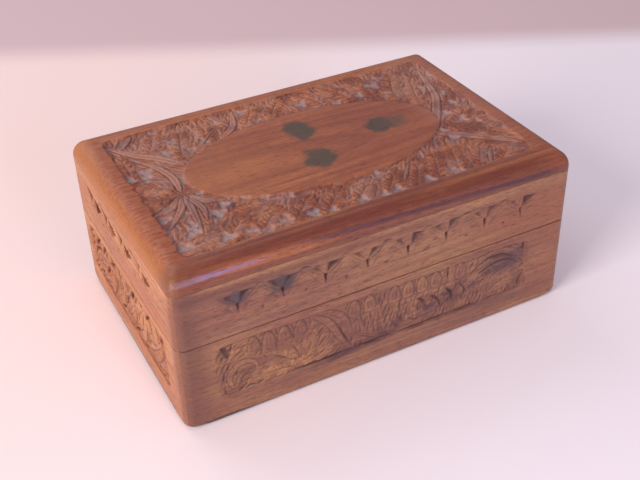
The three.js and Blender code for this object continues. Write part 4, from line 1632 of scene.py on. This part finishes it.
@dataclass
class TopBoard:
    """The slab that closes the lid: rounded over, carved round a plain oval."""

    sizes: BoxSizes = SIZES
    pitch: float = 0.3
    edge_radius: float = 6.0
    field_margin: float = 9.0
    field_corner: float = 4.0
    oval_length: float = 99.0
    oval_width: float = 52.0
    depth: float = 1.2
    triangles: int = 195000
    shelf: float = 0.5
    below_cuts: float = 3.0
    under_ease: Point = (0.3, 0.12)
    border: float = 2.0
    rim: float = 0.5
    overlap: float = 0.4
    seed: int = 5
    slimmest_frond: float = 4.0
    # The blades carry the dust colour: dust, and a painted grey-lilac sheen.
    blade: LeafStyle = LeafStyle(
        crease=0.45, vein_pitch=2.0, vein_depth=0.08, lobe_depth=0.08, fullness=0.62, blunt=0.55,
        top=0.0, moat=1.9, moat_width=0.4, dust_and_sheen=0.42)
    body: LeafStyle = LeafStyle(
        crease=0.0, vein_depth=0.0, fullness=0.75, blunt=0.6, top=0.4, moat=2.0, moat_width=0.4)
    lobe: LeafStyle = LeafStyle(
        width=1.75, crease=0.3, vein_depth=0.0, fullness=1.25, blunt=0.6, top=0.0, moat=1.1,
        moat_width=0.3)
    strokes: tuple[Stroke, ...] = (Stroke(6.0, 1.5, 0.6), Stroke(4.0, 1.1, 0.45), Stroke(2.6, 0.8, 0.36))
    leaves: tuple[tuple[Line, float], ...] = (
        ([(-53.2, -4), (-52.4, 6), (-55.4, 16), (-62, 26.5)], 3),
        ([(-45.4, 11.4), (-52, 20.4), (-59, 27.2), (-66.6, 37.6)], 3.6),
        ([(-54.6, -2.2), (-60, 2.8), (-67.2, 4.2)], 5),
        ([(-55, -5), (-60.6, -6), (-67.2, -4.6)], 4.2),
        ([(-54.4, -7), (-59.6, -12), (-67, -14.2)], 3.6),
        ([(-53.8, -7.4), (-57.6, -15), (-64.6, -23.8)], 3),
        ([(-53, -7), (-54.2, -18), (-56.2, -31.6)], 2.8),
        ([(-51.6, -8), (-48.4, -13), (-41.4, -16.2)], 3.4),
        ([(-52.2, -9.5), (-50.6, -17), (-52, -25)], 2.6),
        ([(-66.4, 8.6), (-64.2, 18), (-65.8, 29)], 4),
        ([(-67, -40.2), (-60, -35.2), (-51.6, -35.8)], 5.4),
        ([(-51.2, -41.6), (-46.6, -33.4), (-38.6, -29)], 5.6),
        ([(-45, -24.6), (-38.6, -22), (-31.6, -24.8)], 4.6),
        ([(-40.4, -41.6), (-34.8, -34.4), (-27.2, -28.6)], 5),
        ([(-29, -41.6), (-23, -34.2), (-14.8, -27.8)], 5.4),
        ([(-17.4, -41.6), (-11.6, -34.6), (-4.6, -27.4)], 5),
        ([(-5.8, -41.6), (0.2, -34.4), (6.8, -27.4)], 5),
        ([(5.4, -41.6), (11, -34.4), (17.4, -26.6)], 5),
        ([(17, -41.6), (22.4, -33), (27, -24.4)], 4.8),
        ([(26, -41.6), (30.4, -32.4), (35.6, -20.8)], 4.8),
        ([(34.4, -41.6), (38.8, -30.6), (43.8, -18)], 4.8),
        ([(43, -12.8), (52.4, 1.2), (59, 13), (65, 35.6)], 3.6),
        ([(43.4, -14.6), (52, -21.4), (66.2, -35.6)], 3.8),
        ([(47.4, -12.4), (56, -8.4), (66.8, 1.6)], 4.2),
        ([(48.8, -15.4), (57.4, -14.6), (67.2, -9)], 4.2),
        ([(53.6, -20.4), (60.2, -21.8), (67.2, -18.6)], 4.2),
        ([(42.6, -41.4), (48.6, -32.6), (54.6, -27.6)], 4.6),
        ([(51.6, -41.4), (57, -36.6), (60.6, -32.6)], 4.2),
        ([(57.6, 3), (62.4, 9), (67, 19.6)], 4),
        ([(50.4, 7.6), (53, 18.6), (59.6, 29.6)], 5),
        ([(44.6, 14.6), (47, 25.6), (55.6, 40.4)], 5.4),
        ([(36.8, 19.6), (38.4, 30.6), (32.6, 41.2)], 5.2),
        ([(28.4, 22.6), (27.2, 32), (20.4, 41)], 5.2),
        ([(17.6, 25.2), (15.4, 33.6), (8.6, 41)], 5.2),
        ([(-4.6, 26.4), (-0.6, 33.8), (6.6, 41.2)], 5.2),
        ([(-15.6, 25.4), (-11.4, 32.8), (-5.4, 41.2)], 4.8),
        ([(-27.6, 22), (-19.8, 28.6), (-15, 41)], 3.2),
        ([(-25, 41), (-22.4, 34.4), (-20.4, 29.2)], 2.6),
        ([(-37.2, 18), (-31.4, 26.4), (-28.6, 40.6)], 5.2),
        ([(-44.8, 15.8), (-41.4, 27), (-36.8, 41.2)], 5.2),
        ([(-54.4, 24.4), (-50.6, 31.4), (-46.6, 41.2)], 5.2),
        ([(-62.4, 33), (-58.8, 37), (-55, 41.2)], 3.6))
    sprigs: tuple[tuple[Line, float], ...] = (
        ([(15.6, -35.4), (19, -31.2), (23.4, -25.8)], 1.7),
        ([(47.8, -40.4), (50.4, -36), (54.4, -31)], 1.8),
        ([(55, 14), (58, 18), (60.6, 22.6)], 1.6),
        ([(-35.4, 21.6), (-30.4, 26.8), (-24.6, 32.6)], 1.5))
    clearings: tuple[Place, ...] = (
        (-59.6, 14, 2.6), (-60.6, 10, 2), (-66, 11.4, 2.2), (-50.4, 2, 2.2), (-48.6, -8.4, 1.6),
        (-61.8, -13, 1.8), (-58, -17.4, 2), (-64.4, -17.4, 2.2), (-56.8, -24.6, 2.2),
        (-58.6, -28.4, 2.9), (-64.4, -35.2, 2.8), (-47.4, -22.4, 2.6), (-44, -18.4, 1.9),
        (-50.4, -36.4, 2.6), (-36.6, -18.6, 1.9), (-30.4, -21.6, 1.8), (-22.6, -24.6, 1.7),
        (-42, -36.6, 2.4), (-37.6, -39.6, 2.2), (-30, -36.6, 2.4), (-20.6, -38.2, 2.4),
        (-14.2, -39.4, 1.8), (-2.6, -38.6, 2.1), (5, -40, 2), (10.6, -39.6, 2.4), (9.6, -27.8, 1.8),
        (22.8, -39.6, 2.6), (34, -39.6, 2.5), (46, -19.4, 2), (45.8, -13.6, 1.8), (51, -34.6, 1.8),
        (56.4, -9.6, 2.2), (60.4, -13.6, 1.6), (54, -2.6, 1.9), (60.6, 3.6, 1.6), (57.4, 18.4, 2.4),
        (61.6, 12, 1.8), (-12.8, 37.4, 2), (-10.4, 28.4, 1.8), (10, 31.6, 2.3), (22.6, 25.8, 1.8),
        (41.6, 31.6, 3), (46.4, 35.4, 1.8), (33, 27, 1.9), (-48, 39.4, 1.6), (-44, 29.6, 1.9),
        (-34, 23.8, 2.2), (-48.4, 22.4, 2), (-40, 20.4, 1.7), (-24.6, 34.6, 1.8))
    lie: Lie = Lie((
        (-62, 8, 165), (-63, -3, 180), (-62, -14, 205), (-61, -30, 240),
        (-47, -33, 50), (-38, -27, 20), (-26, -33, 42), (-13, -34, 45),
        (0, -34, 48), (12, -34, 52), (30, -32, 60), (48, -33, 55), (60, -27, 325),
        (62, -13, 10), (62, 1, 42), (63, 14, 60), (60, 32, 62),
        (50, 18, 65), (50, 33, 62), (36, 31, 110), (24, 34, 125),
        (10, 34, 128), (-4, 34, 48), (-22, 34, 60), (-34, 30, 65),
        (-45, 28, 62), (-50, 36, 60), (-60, 22, 120)))

    @property
    def reach(self) -> Point:
        """Half the length and half the depth of the face, measured over its rounded edges."""
        over = self.edge_radius * (math.pi / 2 - 1)
        return (self.sizes.length / 2 + over, self.sizes.depth / 2 + over)

    def carve(self) -> Relief:
        """Carves the field round the oval.

        Returns:
            The relief, in (x, y) measured over the rounded edges.
        """
        reach = self.reach
        relief = Relief((-reach[0], -reach[1]), reach, self.pitch)
        from_side = self.sizes.length / 2 - self.field_margin - np.abs(relief.x)
        from_edge = self.sizes.depth / 2 - self.field_margin - np.abs(relief.y)
        bordered = rounded_inside(from_side, from_edge, self.field_corner)
        half_x = self.oval_length / 2
        half_y = self.oval_width / 2
        share = np.hypot(relief.x / half_x, relief.y / half_y)
        slope = np.hypot(relief.x / half_x ** 2, relief.y / half_y ** 2) / np.maximum(share, 1e-6)
        beyond_oval = (share - 1.0) / np.maximum(slope, 1e-6)
        inside = np.minimum(bordered, beyond_oval)
        relief.sink(np.minimum(bordered, self.border / self.rim * beyond_oval), self.shelf, self.border)
        for line, width in self.leaves:
            if width >= self.slimmest_frond:
                relief.frond(line, self.body, width, self.lobe)
        for x, y, radius in self.clearings:
            relief.clear(x, y, radius, self.depth)
        for line, width in (*self.leaves, *self.sprigs):
            if width < self.slimmest_frond:
                relief.leaf(line, self.blade, width)
        cut = relief.hatch(inside + self.overlap, self.lie, self.strokes, self.seed)
        LOG.info("top board: %d small strokes", cut)
        return relief

    def rim_steps(self) -> list[Callable[[Vector], Vector]]:
        """Draws the underside from the rim of the rounded face.

        Returns:
            The steps for flat_board.
        """
        thickness = self.sizes.top - self.sizes.frame_top
        eased = thickness - self.under_ease[1]
        return [lambda at: Vector((at.x, at.y, eased)), lambda at: Vector((at.x, at.y, thickness + 0.5))]

    def place(self, flat: np.ndarray) -> np.ndarray:
        """Bends the flat face over its edges and round its corners.

        Args:
            flat: Rows of (x, y, depth), measured over the rounded edges.

        Returns:
            Rows of (x, y, z).
        """
        radius = self.edge_radius
        core = np.array([self.sizes.length / 2 - radius, self.sizes.depth / 2 - radius])
        over = np.clip(np.abs(flat[:, :2]) - core, 0.0, None) / (radius * math.pi / 2)
        level = np.clip(over.max(1), 0.0, 1.0)
        angle = level * math.pi / 2
        spread = radius * np.sin(angle)
        lesser = np.where(level > 0, over.min(1) / np.maximum(level, 1e-9), 0.0) * spread
        rounding = self.sizes.corner * np.sin(angle)
        turned = np.clip(lesser - (spread - rounding), 0.0, None) / np.maximum(rounding, 1e-9) * math.pi / 4
        corner_long = spread - rounding + rounding * np.cos(turned)
        corner_short = np.where(turned > 0, spread - rounding + rounding * np.sin(turned), lesser)
        x_leads = over[:, 0] >= over[:, 1]
        long_way = np.where(over.min(1) > 0, corner_long, spread)
        both = over.min(1) > 0
        out_x = np.where(x_leads, long_way, np.where(both, corner_short, 0.0))
        out_y = np.where(x_leads, np.where(both, corner_short, 0.0), long_way)
        inner = np.minimum(np.abs(flat[:, :2]), core)
        x = np.sign(flat[:, 0]) * (inner[:, 0] + out_x)
        y = np.sign(flat[:, 1]) * (inner[:, 1] + out_y)
        z = self.sizes.top - radius + radius * np.cos(angle)
        thickness = self.sizes.top - self.sizes.frame_top
        below = flat[:, 2] > self.below_cuts
        z = np.where(below, self.sizes.top - np.minimum(flat[:, 2], thickness), z - flat[:, 2])
        shrink = np.where(flat[:, 2] > thickness, self.under_ease[0], 0.0)
        x = x - np.sign(x) * shrink * (np.abs(x) > 1.0)
        y = y - np.sign(y) * shrink * (np.abs(y) > 1.0)
        return np.column_stack([x, y, z])

    def build(self, material: Material) -> Piece:
        """Makes the board.

        Args:
            material: Its finish.

        Returns:
            The finished piece.
        """
        relief = self.carve()
        board = flat_board(relief, self.rim_steps())
        piece = placed_board("carved_top_board", board, relief, self.place)
        thin = piece.modifiers.new("thin", "DECIMATE")
        thin.ratio = self.triangles / (2 * relief.columns * relief.rows)
        settle(piece)
        return dressed(piece, material, "top_wood", Level.LID, "lid_top_board")


def solid(name: str, shape: Shape, place: Matrix = Matrix(),
          crease_degrees: float = BRASS_CREASE) -> Piece:
    """Makes an object in metres from a shape in millimetres.

    Args:
        name: Name of the object.
        shape: The shape, which is freed.
        place: Where it goes, in millimetres.
        crease_degrees: Angle from which an edge stays sharp.

    Returns:
        The object, at the origin with its mesh in place.
    """
    bmesh.ops.transform(shape, matrix=Matrix.Scale(MM, 4) @ place, verts=shape.verts)
    mesh = bpy.data.meshes.new(name)
    shape.to_mesh(mesh)
    shape.free()
    return shown(name, mesh, crease_degrees)


def turned(profile: Line, segments: int) -> Shape:
    """Turns a profile round Z.

    Args:
        profile: Points (radius, height), from one end of the axis to the other.
        segments: Number of steps round.

    Returns:
        The closed shape.
    """
    shape = bmesh.new()
    verts = [shape.verts.new((radius, 0.0, height)) for radius, height in profile]
    edges = [shape.edges.new(pair) for pair in zip(verts, verts[1:])]
    bmesh.ops.spin(
        shape, geom=[*verts, *edges], cent=(0.0, 0.0, 0.0), axis=(0.0, 0.0, 1.0), angle=2 * math.pi,
        steps=segments, use_merge=True)
    bmesh.ops.remove_doubles(shape, verts=shape.verts, dist=1e-5)
    bmesh.ops.recalc_face_normals(shape, faces=shape.faces)
    return shape


def block(low: Place, high: Place, bevel: float = 0.0, segments: int = 2) -> Shape:
    """Makes a block between two corners, with eased edges.

    Args:
        low: Lowest corner.
        high: Highest corner.
        bevel: Width of the easing, or 0 for none.
        segments: Steps of the easing.

    Returns:
        The block.
    """
    shape = bmesh.new()
    bmesh.ops.create_cube(shape, size=1.0)
    bmesh.ops.scale(shape, vec=[b - a for a, b in zip(low, high)], verts=shape.verts)
    bmesh.ops.translate(shape, vec=[(a + b) / 2 for a, b in zip(low, high)], verts=shape.verts)
    if bevel > 0:
        bmesh.ops.bevel(
            shape, geom=shape.edges, offset=bevel, affect="EDGES", segments=segments, profile=0.5,
            material=-1)
    return shape


@dataclass
class BottomBoard:
    """The plain board that lies in the rebate under the base."""

    sizes: BoxSizes = SIZES
    bevel: float = 0.5

    def build(self, material: Material) -> Piece:
        """Makes the board.

        Args:
            material: Its finish.

        Returns:
            The finished piece.
        """
        margin = self.sizes.wall - self.sizes.rebate + self.sizes.fit_gap
        x = self.sizes.length / 2 - margin
        y = self.sizes.depth / 2 - margin
        board = block((-x, -y, 0.0), (x, y, self.sizes.bottom), self.bevel, 3)
        return dressed(
            solid("sanded_bottom_board", board), material, "bottom_wood", Level.BASE, "bottom_board")


@dataclass
class Hinge:
    """A small brass butt hinge: two leaves with rolled knuckles, their screws and the pin."""

    hand: str
    centre: float
    sizes: BoxSizes = SIZES
    length: float = 22.0
    leaf_width: float = 5.8
    leaf_thickness: float = 1.0
    leaf_ease: float = 0.12
    barrel: float = 1.7
    pin: float = 0.7
    pin_play: float = 0.08
    pin_ease: float = 0.3
    pin_crease: float = 40.0
    axis_margin: float = 0.2
    knuckles: int = 3
    knuckle_ease: float = 0.25
    screw_spacing: float = 13.0
    screw_inset: float = 3.9
    screw_length: float = 7.0
    head: float = 1.4
    head_depth: float = 0.8
    head_room: float = 0.15
    shank: float = 0.7
    shank_room: float = 0.1
    thread_start: float = 1.5
    thread_pitch: float = 0.62
    thread_turns: int = 7
    thread_core: float = 0.72
    slot_half: float = 0.22
    slot_depth: float = 0.4

    @property
    def axis(self) -> Matrix:
        """Place of the middle of the pin."""
        return Matrix.Translation((self.centre, self.sizes.hinge_axis_y, self.sizes.base_height))

    @staticmethod
    def _sign(level: Level) -> float:
        """Which way a leaf lies from the pin: down for the base, up for the lid."""
        return -1.0 if level is Level.BASE else 1.0

    def _rod(self, radius: float, start: float, end: float, bore: float = 0.0,
             ease: float = 0.0) -> Shape:
        """Turns a rod or a tube along X.

        Args:
            radius: Its outer radius.
            start: Where it starts along X.
            end: Where it ends.
            bore: Radius of the hole through it, or 0.
            ease: Rounding of its outer edges.

        Returns:
            The shape.
        """
        profile = [
            (bore, start), (radius - ease, start), (radius - 0.3 * ease, start + 0.3 * ease),
            (radius, start + ease), (radius, end - ease), (radius - 0.3 * ease, end - 0.3 * ease),
            (radius - ease, end), (bore, end)]
        if bore > 0:
            profile.append((bore, start))
        shape = turned(profile, 40)
        onto_x = Matrix.Rotation(math.radians(90.0), 3, "Y")
        bmesh.ops.rotate(shape, cent=(0.0, 0.0, 0.0), matrix=onto_x, verts=shape.verts)
        return shape

    def _spans(self, level: Level) -> list[Point]:
        """Where the knuckles of one leaf start and end along the pin.

        Args:
            level: The frame that the leaf is screwed to.

        Returns:
            The (start, end) pairs.
        """
        pitch = self.length / self.knuckles
        gap = self.sizes.fit_gap / 2
        first = 0 if level is Level.BASE else 1
        starts = [-self.length / 2 + i * pitch for i in range(first, self.knuckles, 2)]
        return [(start + gap, start + pitch - gap) for start in starts]

    def pockets(self, level: Level) -> list[Piece]:
        """Makes the solids that the back wall loses to this hinge.

        Args:
            level: The frame whose wall it is.

        Returns:
            The leaf's pocket and the barrel's channel.
        """
        gap = self.sizes.fit_gap
        reach = self.length / 2 + gap
        depth = gap / 2 + self.leaf_thickness + gap
        low, high = (-depth, 1.0) if level is Level.BASE else (-1.0, depth)
        pocket = block((-reach, -self.leaf_width - gap, low), (reach, self.axis_margin, high))
        channel = self._rod(self.barrel + gap, -reach, reach)
        return [solid("pocket", pocket, self.axis), solid("channel", channel, self.axis)]

    def build_leaf(self, level: Level, material: Material) -> Piece:
        """Makes one leaf with its knuckles and countersunk holes.

        Args:
            level: The frame that it is screwed to.
            material: Its finish.

        Returns:
            The finished piece.
        """
        gap = self.sizes.fit_gap
        near = self._sign(level) * gap / 2
        far = near + self._sign(level) * self.leaf_thickness
        half = self.length / 2
        plate = block(
            (-half, -self.leaf_width, min(near, far)), (half, -self.axis_margin, max(near, far)),
            self.leaf_ease)
        name = f"hinge_{self.hand}_{level.value}_leaf"
        piece = solid(f"brass_{name}", plate, self.axis)
        other = Level.LID if level is Level.BASE else Level.BASE
        notches = [
            solid("notch", self._rod(self.barrel + gap, start - gap, end + gap), self.axis)
            for start, end in self._spans(other)]
        combined(piece, notches, BRASS_CREASE)
        for start, end in self._spans(level):
            knuckle = self._rod(self.barrel, start, end, 0.0, self.knuckle_ease)
            combined(piece, [solid("knuckle", knuckle, self.axis)], BRASS_CREASE, "UNION")
        bore = self._rod(self.pin + self.pin_play, -self.length, self.length)
        sink = self.head + self.head_room
        hole = self.shank + self.shank_room
        profile = [
            (0.0, -4.0), (hole, -4.0), (hole, -self.head_depth), (sink, 0.05), (sink, 1.0), (0.0, 1.0)]
        holes = [solid("hole", turned(profile, 32), place) for place in self._screw_places(level)]
        combined(piece, [solid("bore", bore, self.axis), *holes], BRASS_CREASE)
        return dressed(piece, material, "hinge_brass", level, name)

    def _screw_places(self, level: Level) -> list[Matrix]:
        """Where the screws of one leaf go, each with its head up along Z.

        Args:
            level: The frame that they are driven into.

        Returns:
            Their places.
        """
        turn = Matrix.Rotation(0.0 if level is Level.BASE else math.pi, 4, "X")
        near = self._sign(level) * self.sizes.fit_gap / 2
        return [
            self.axis @ Matrix.Translation((x, -self.screw_inset, near)) @ turn
            for x in (-self.screw_spacing / 2, self.screw_spacing / 2)]

    def build_screws(self, level: Level, material: Material) -> list[Piece]:
        """Makes the screws of one leaf.

        Args:
            level: The frame that they are driven into.
            material: Their finish.

        Returns:
            The finished pieces.
        """
        thread = []
        for turn in range(self.thread_turns):
            top = -self.thread_start - turn * self.thread_pitch
            thread += [(self.shank, top), (self.shank * self.thread_core, top - 0.3)]
        end = -self.screw_length
        profile = [
            (0.0, 0.0), (self.head * 0.7, 0.0), (self.head - 0.12, -0.03), (self.head, -0.12),
            (self.shank, -self.head_depth), *thread, (0.25, end + 0.5), (0.0, end)]
        pieces = []
        for index, place in enumerate(self._screw_places(level), start=1):
            name = f"hinge_{self.hand}_{level.value}_screw_{index}"
            piece = solid(f"brass_{name}", turned(profile, 28), place)
            turn = Matrix.Rotation(math.radians(25.0 + 47.0 * index), 4, "Z")
            slot = block((-2.0, -self.slot_half, -self.slot_depth), (2.0, self.slot_half, 1.0))
            combined(piece, [solid("slot", slot, place @ turn)], BRASS_CREASE)
            pieces.append(dressed(piece, material, "screw_brass", level, name))
        return pieces

    def build_pin(self, material: Material) -> Piece:
        """Makes the pin with its domed ends.

        Args:
            material: Its finish.

        Returns:
            The finished piece.
        """
        pin = self._rod(self.pin, -self.length / 2, self.length / 2, 0.0, self.pin_ease)
        name = f"hinge_{self.hand}_pin"
        piece = solid(f"brass_{name}", pin, self.axis, self.pin_crease)
        return dressed(piece, material, "hinge_brass", Level.BASE, name)

    def build(self, brass: Material, screw_brass: Material) -> None:
        """Makes the whole hinge.

        Args:
            brass: Finish of the leaves and the pin.
            screw_brass: Finish of the screws.
        """
        for level in Level:
            self.build_leaf(level, brass)
            self.build_screws(level, screw_brass)
        self.build_pin(brass)


HINGES = (Hinge("left", -SIZES.hinge_centre), Hinge("right", SIZES.hinge_centre))


@dataclass(frozen=True)
class Lamp:
    """A soft square light that looks at the middle of the box, measured in metres and watts."""

    name: str
    direction: Place
    away: float
    size: float
    power: float
    colour: Place
    aimed_at: Place = (0.0, 0.0, 0.03)

    def build(self) -> None:
        """Hangs the light."""
        lamp = bpy.data.lights.new(self.name, "AREA")
        lamp.size = self.size
        lamp.energy = self.power
        lamp.color = self.colour
        holder = bpy.data.objects.new(self.name, lamp)
        aim = Vector(self.direction).normalized()
        turn = aim.to_track_quat("Z", "Y").to_matrix().to_4x4()
        holder.matrix_world = Matrix.Translation(aim * self.away + Vector(self.aimed_at)) @ turn
        bpy.context.scene.collection.objects.link(holder)


@dataclass
class Studio:
    """A pale floor, soft light from the left and the camera."""

    lamps: tuple[Lamp, ...] = (
        Lamp("key_light", (-0.86, -0.3, 0.46), 1.1, 0.5, 9.0, (1.0, 0.94, 0.88)),
        Lamp("front_light", (0.02, -0.98, 0.46), 1.1, 0.24, 2.4, (0.86, 0.86, 1.0)),
        Lamp("rear_light", (-0.2, 0.7, 0.62), 1.2, 0.9, 3.4, (0.96, 0.94, 1.0)))
    surroundings: Colour = tone(244, 236, 240)
    surroundings_strength: float = 0.48
    floor_half: float = 2.5
    azimuth: float = -26.848
    elevation: float = 35.050
    roll: float = -1.858
    distance: float = 400.57
    aside: Point = (-0.008, 16.63)
    lens: float = 57.3

    def build(self) -> None:
        """Sets up the floor, the lights, the world and the camera."""
        self._floor()
        for lamp in self.lamps:
            lamp.build()
        world = bpy.data.worlds.new("pale_surroundings")
        world.use_nodes = True
        backdrop = world.node_tree.nodes["Background"]
        backdrop.inputs["Color"].default_value = self.surroundings
        backdrop.inputs["Strength"].default_value = self.surroundings_strength
        bpy.context.scene.world = world
        bpy.context.scene.view_settings.view_transform = "Standard"
        self._camera()

    def _floor(self) -> None:
        """Lays the floor."""
        floor = bmesh.new()
        bmesh.ops.create_grid(floor, x_segments=8, y_segments=8, size=self.floor_half)
        mesh = bpy.data.meshes.new("pale_floor")
        floor.to_mesh(mesh)
        floor.free()
        piece = shown("pale_floor", mesh)
        mesh.materials.append(PALE_FLOOR.material())

    def _camera(self) -> None:
        """Places the camera at the angle from which the box is looked at."""
        azimuth = math.radians(self.azimuth)
        elevation = math.radians(self.elevation)
        back = Vector((
            math.sin(azimuth) * math.cos(elevation), -math.cos(azimuth) * math.cos(elevation),
            math.sin(elevation)))
        right = Vector((0.0, 0.0, 1.0)).cross(back).normalized()
        up = back.cross(right)
        cosine = math.cos(math.radians(self.roll))
        sine = math.sin(math.radians(self.roll))
        right, up = cosine * right + sine * up, cosine * up - sine * right
        place = (back * self.distance + right * self.aside[0] + up * self.aside[1]) * MM
        camera = bpy.data.cameras.new("camera")
        camera.lens = self.lens
        camera.sensor_width = 36.0
        camera.sensor_fit = "HORIZONTAL"
        camera.clip_start = 0.01
        holder = bpy.data.objects.new("camera", camera)
        axes = Matrix((right, up, back)).transposed().to_4x4()
        holder.matrix_world = Matrix.Translation(place) @ axes
        bpy.context.scene.collection.objects.link(holder)
        bpy.context.scene.camera = holder


def main() -> None:
    """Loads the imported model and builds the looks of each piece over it."""
    logging.basicConfig(level=logging.INFO, format="%(name)s: %(message)s")
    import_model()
    Studio().build()
    front_wood = FRONT_WOOD.material()
    end_wood = END_WOOD.material()
    for level in Level:
        for side in Side:
            wood, slot = (end_wood, "end_wood") if side.is_end else (front_wood, "front_wood")
            CarvedWall(side, level).build(wood, slot)
    TopBoard().build(TOP_WOOD.material())
    BottomBoard().build(BOTTOM_WOOD.material())
    brass = HINGE_BRASS.material()
    screw_brass = SCREW_BRASS.material()
    for hinge in HINGES:
        hinge.build(brass, screw_brass)
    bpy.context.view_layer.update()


if __name__ == "__main__":
    main()
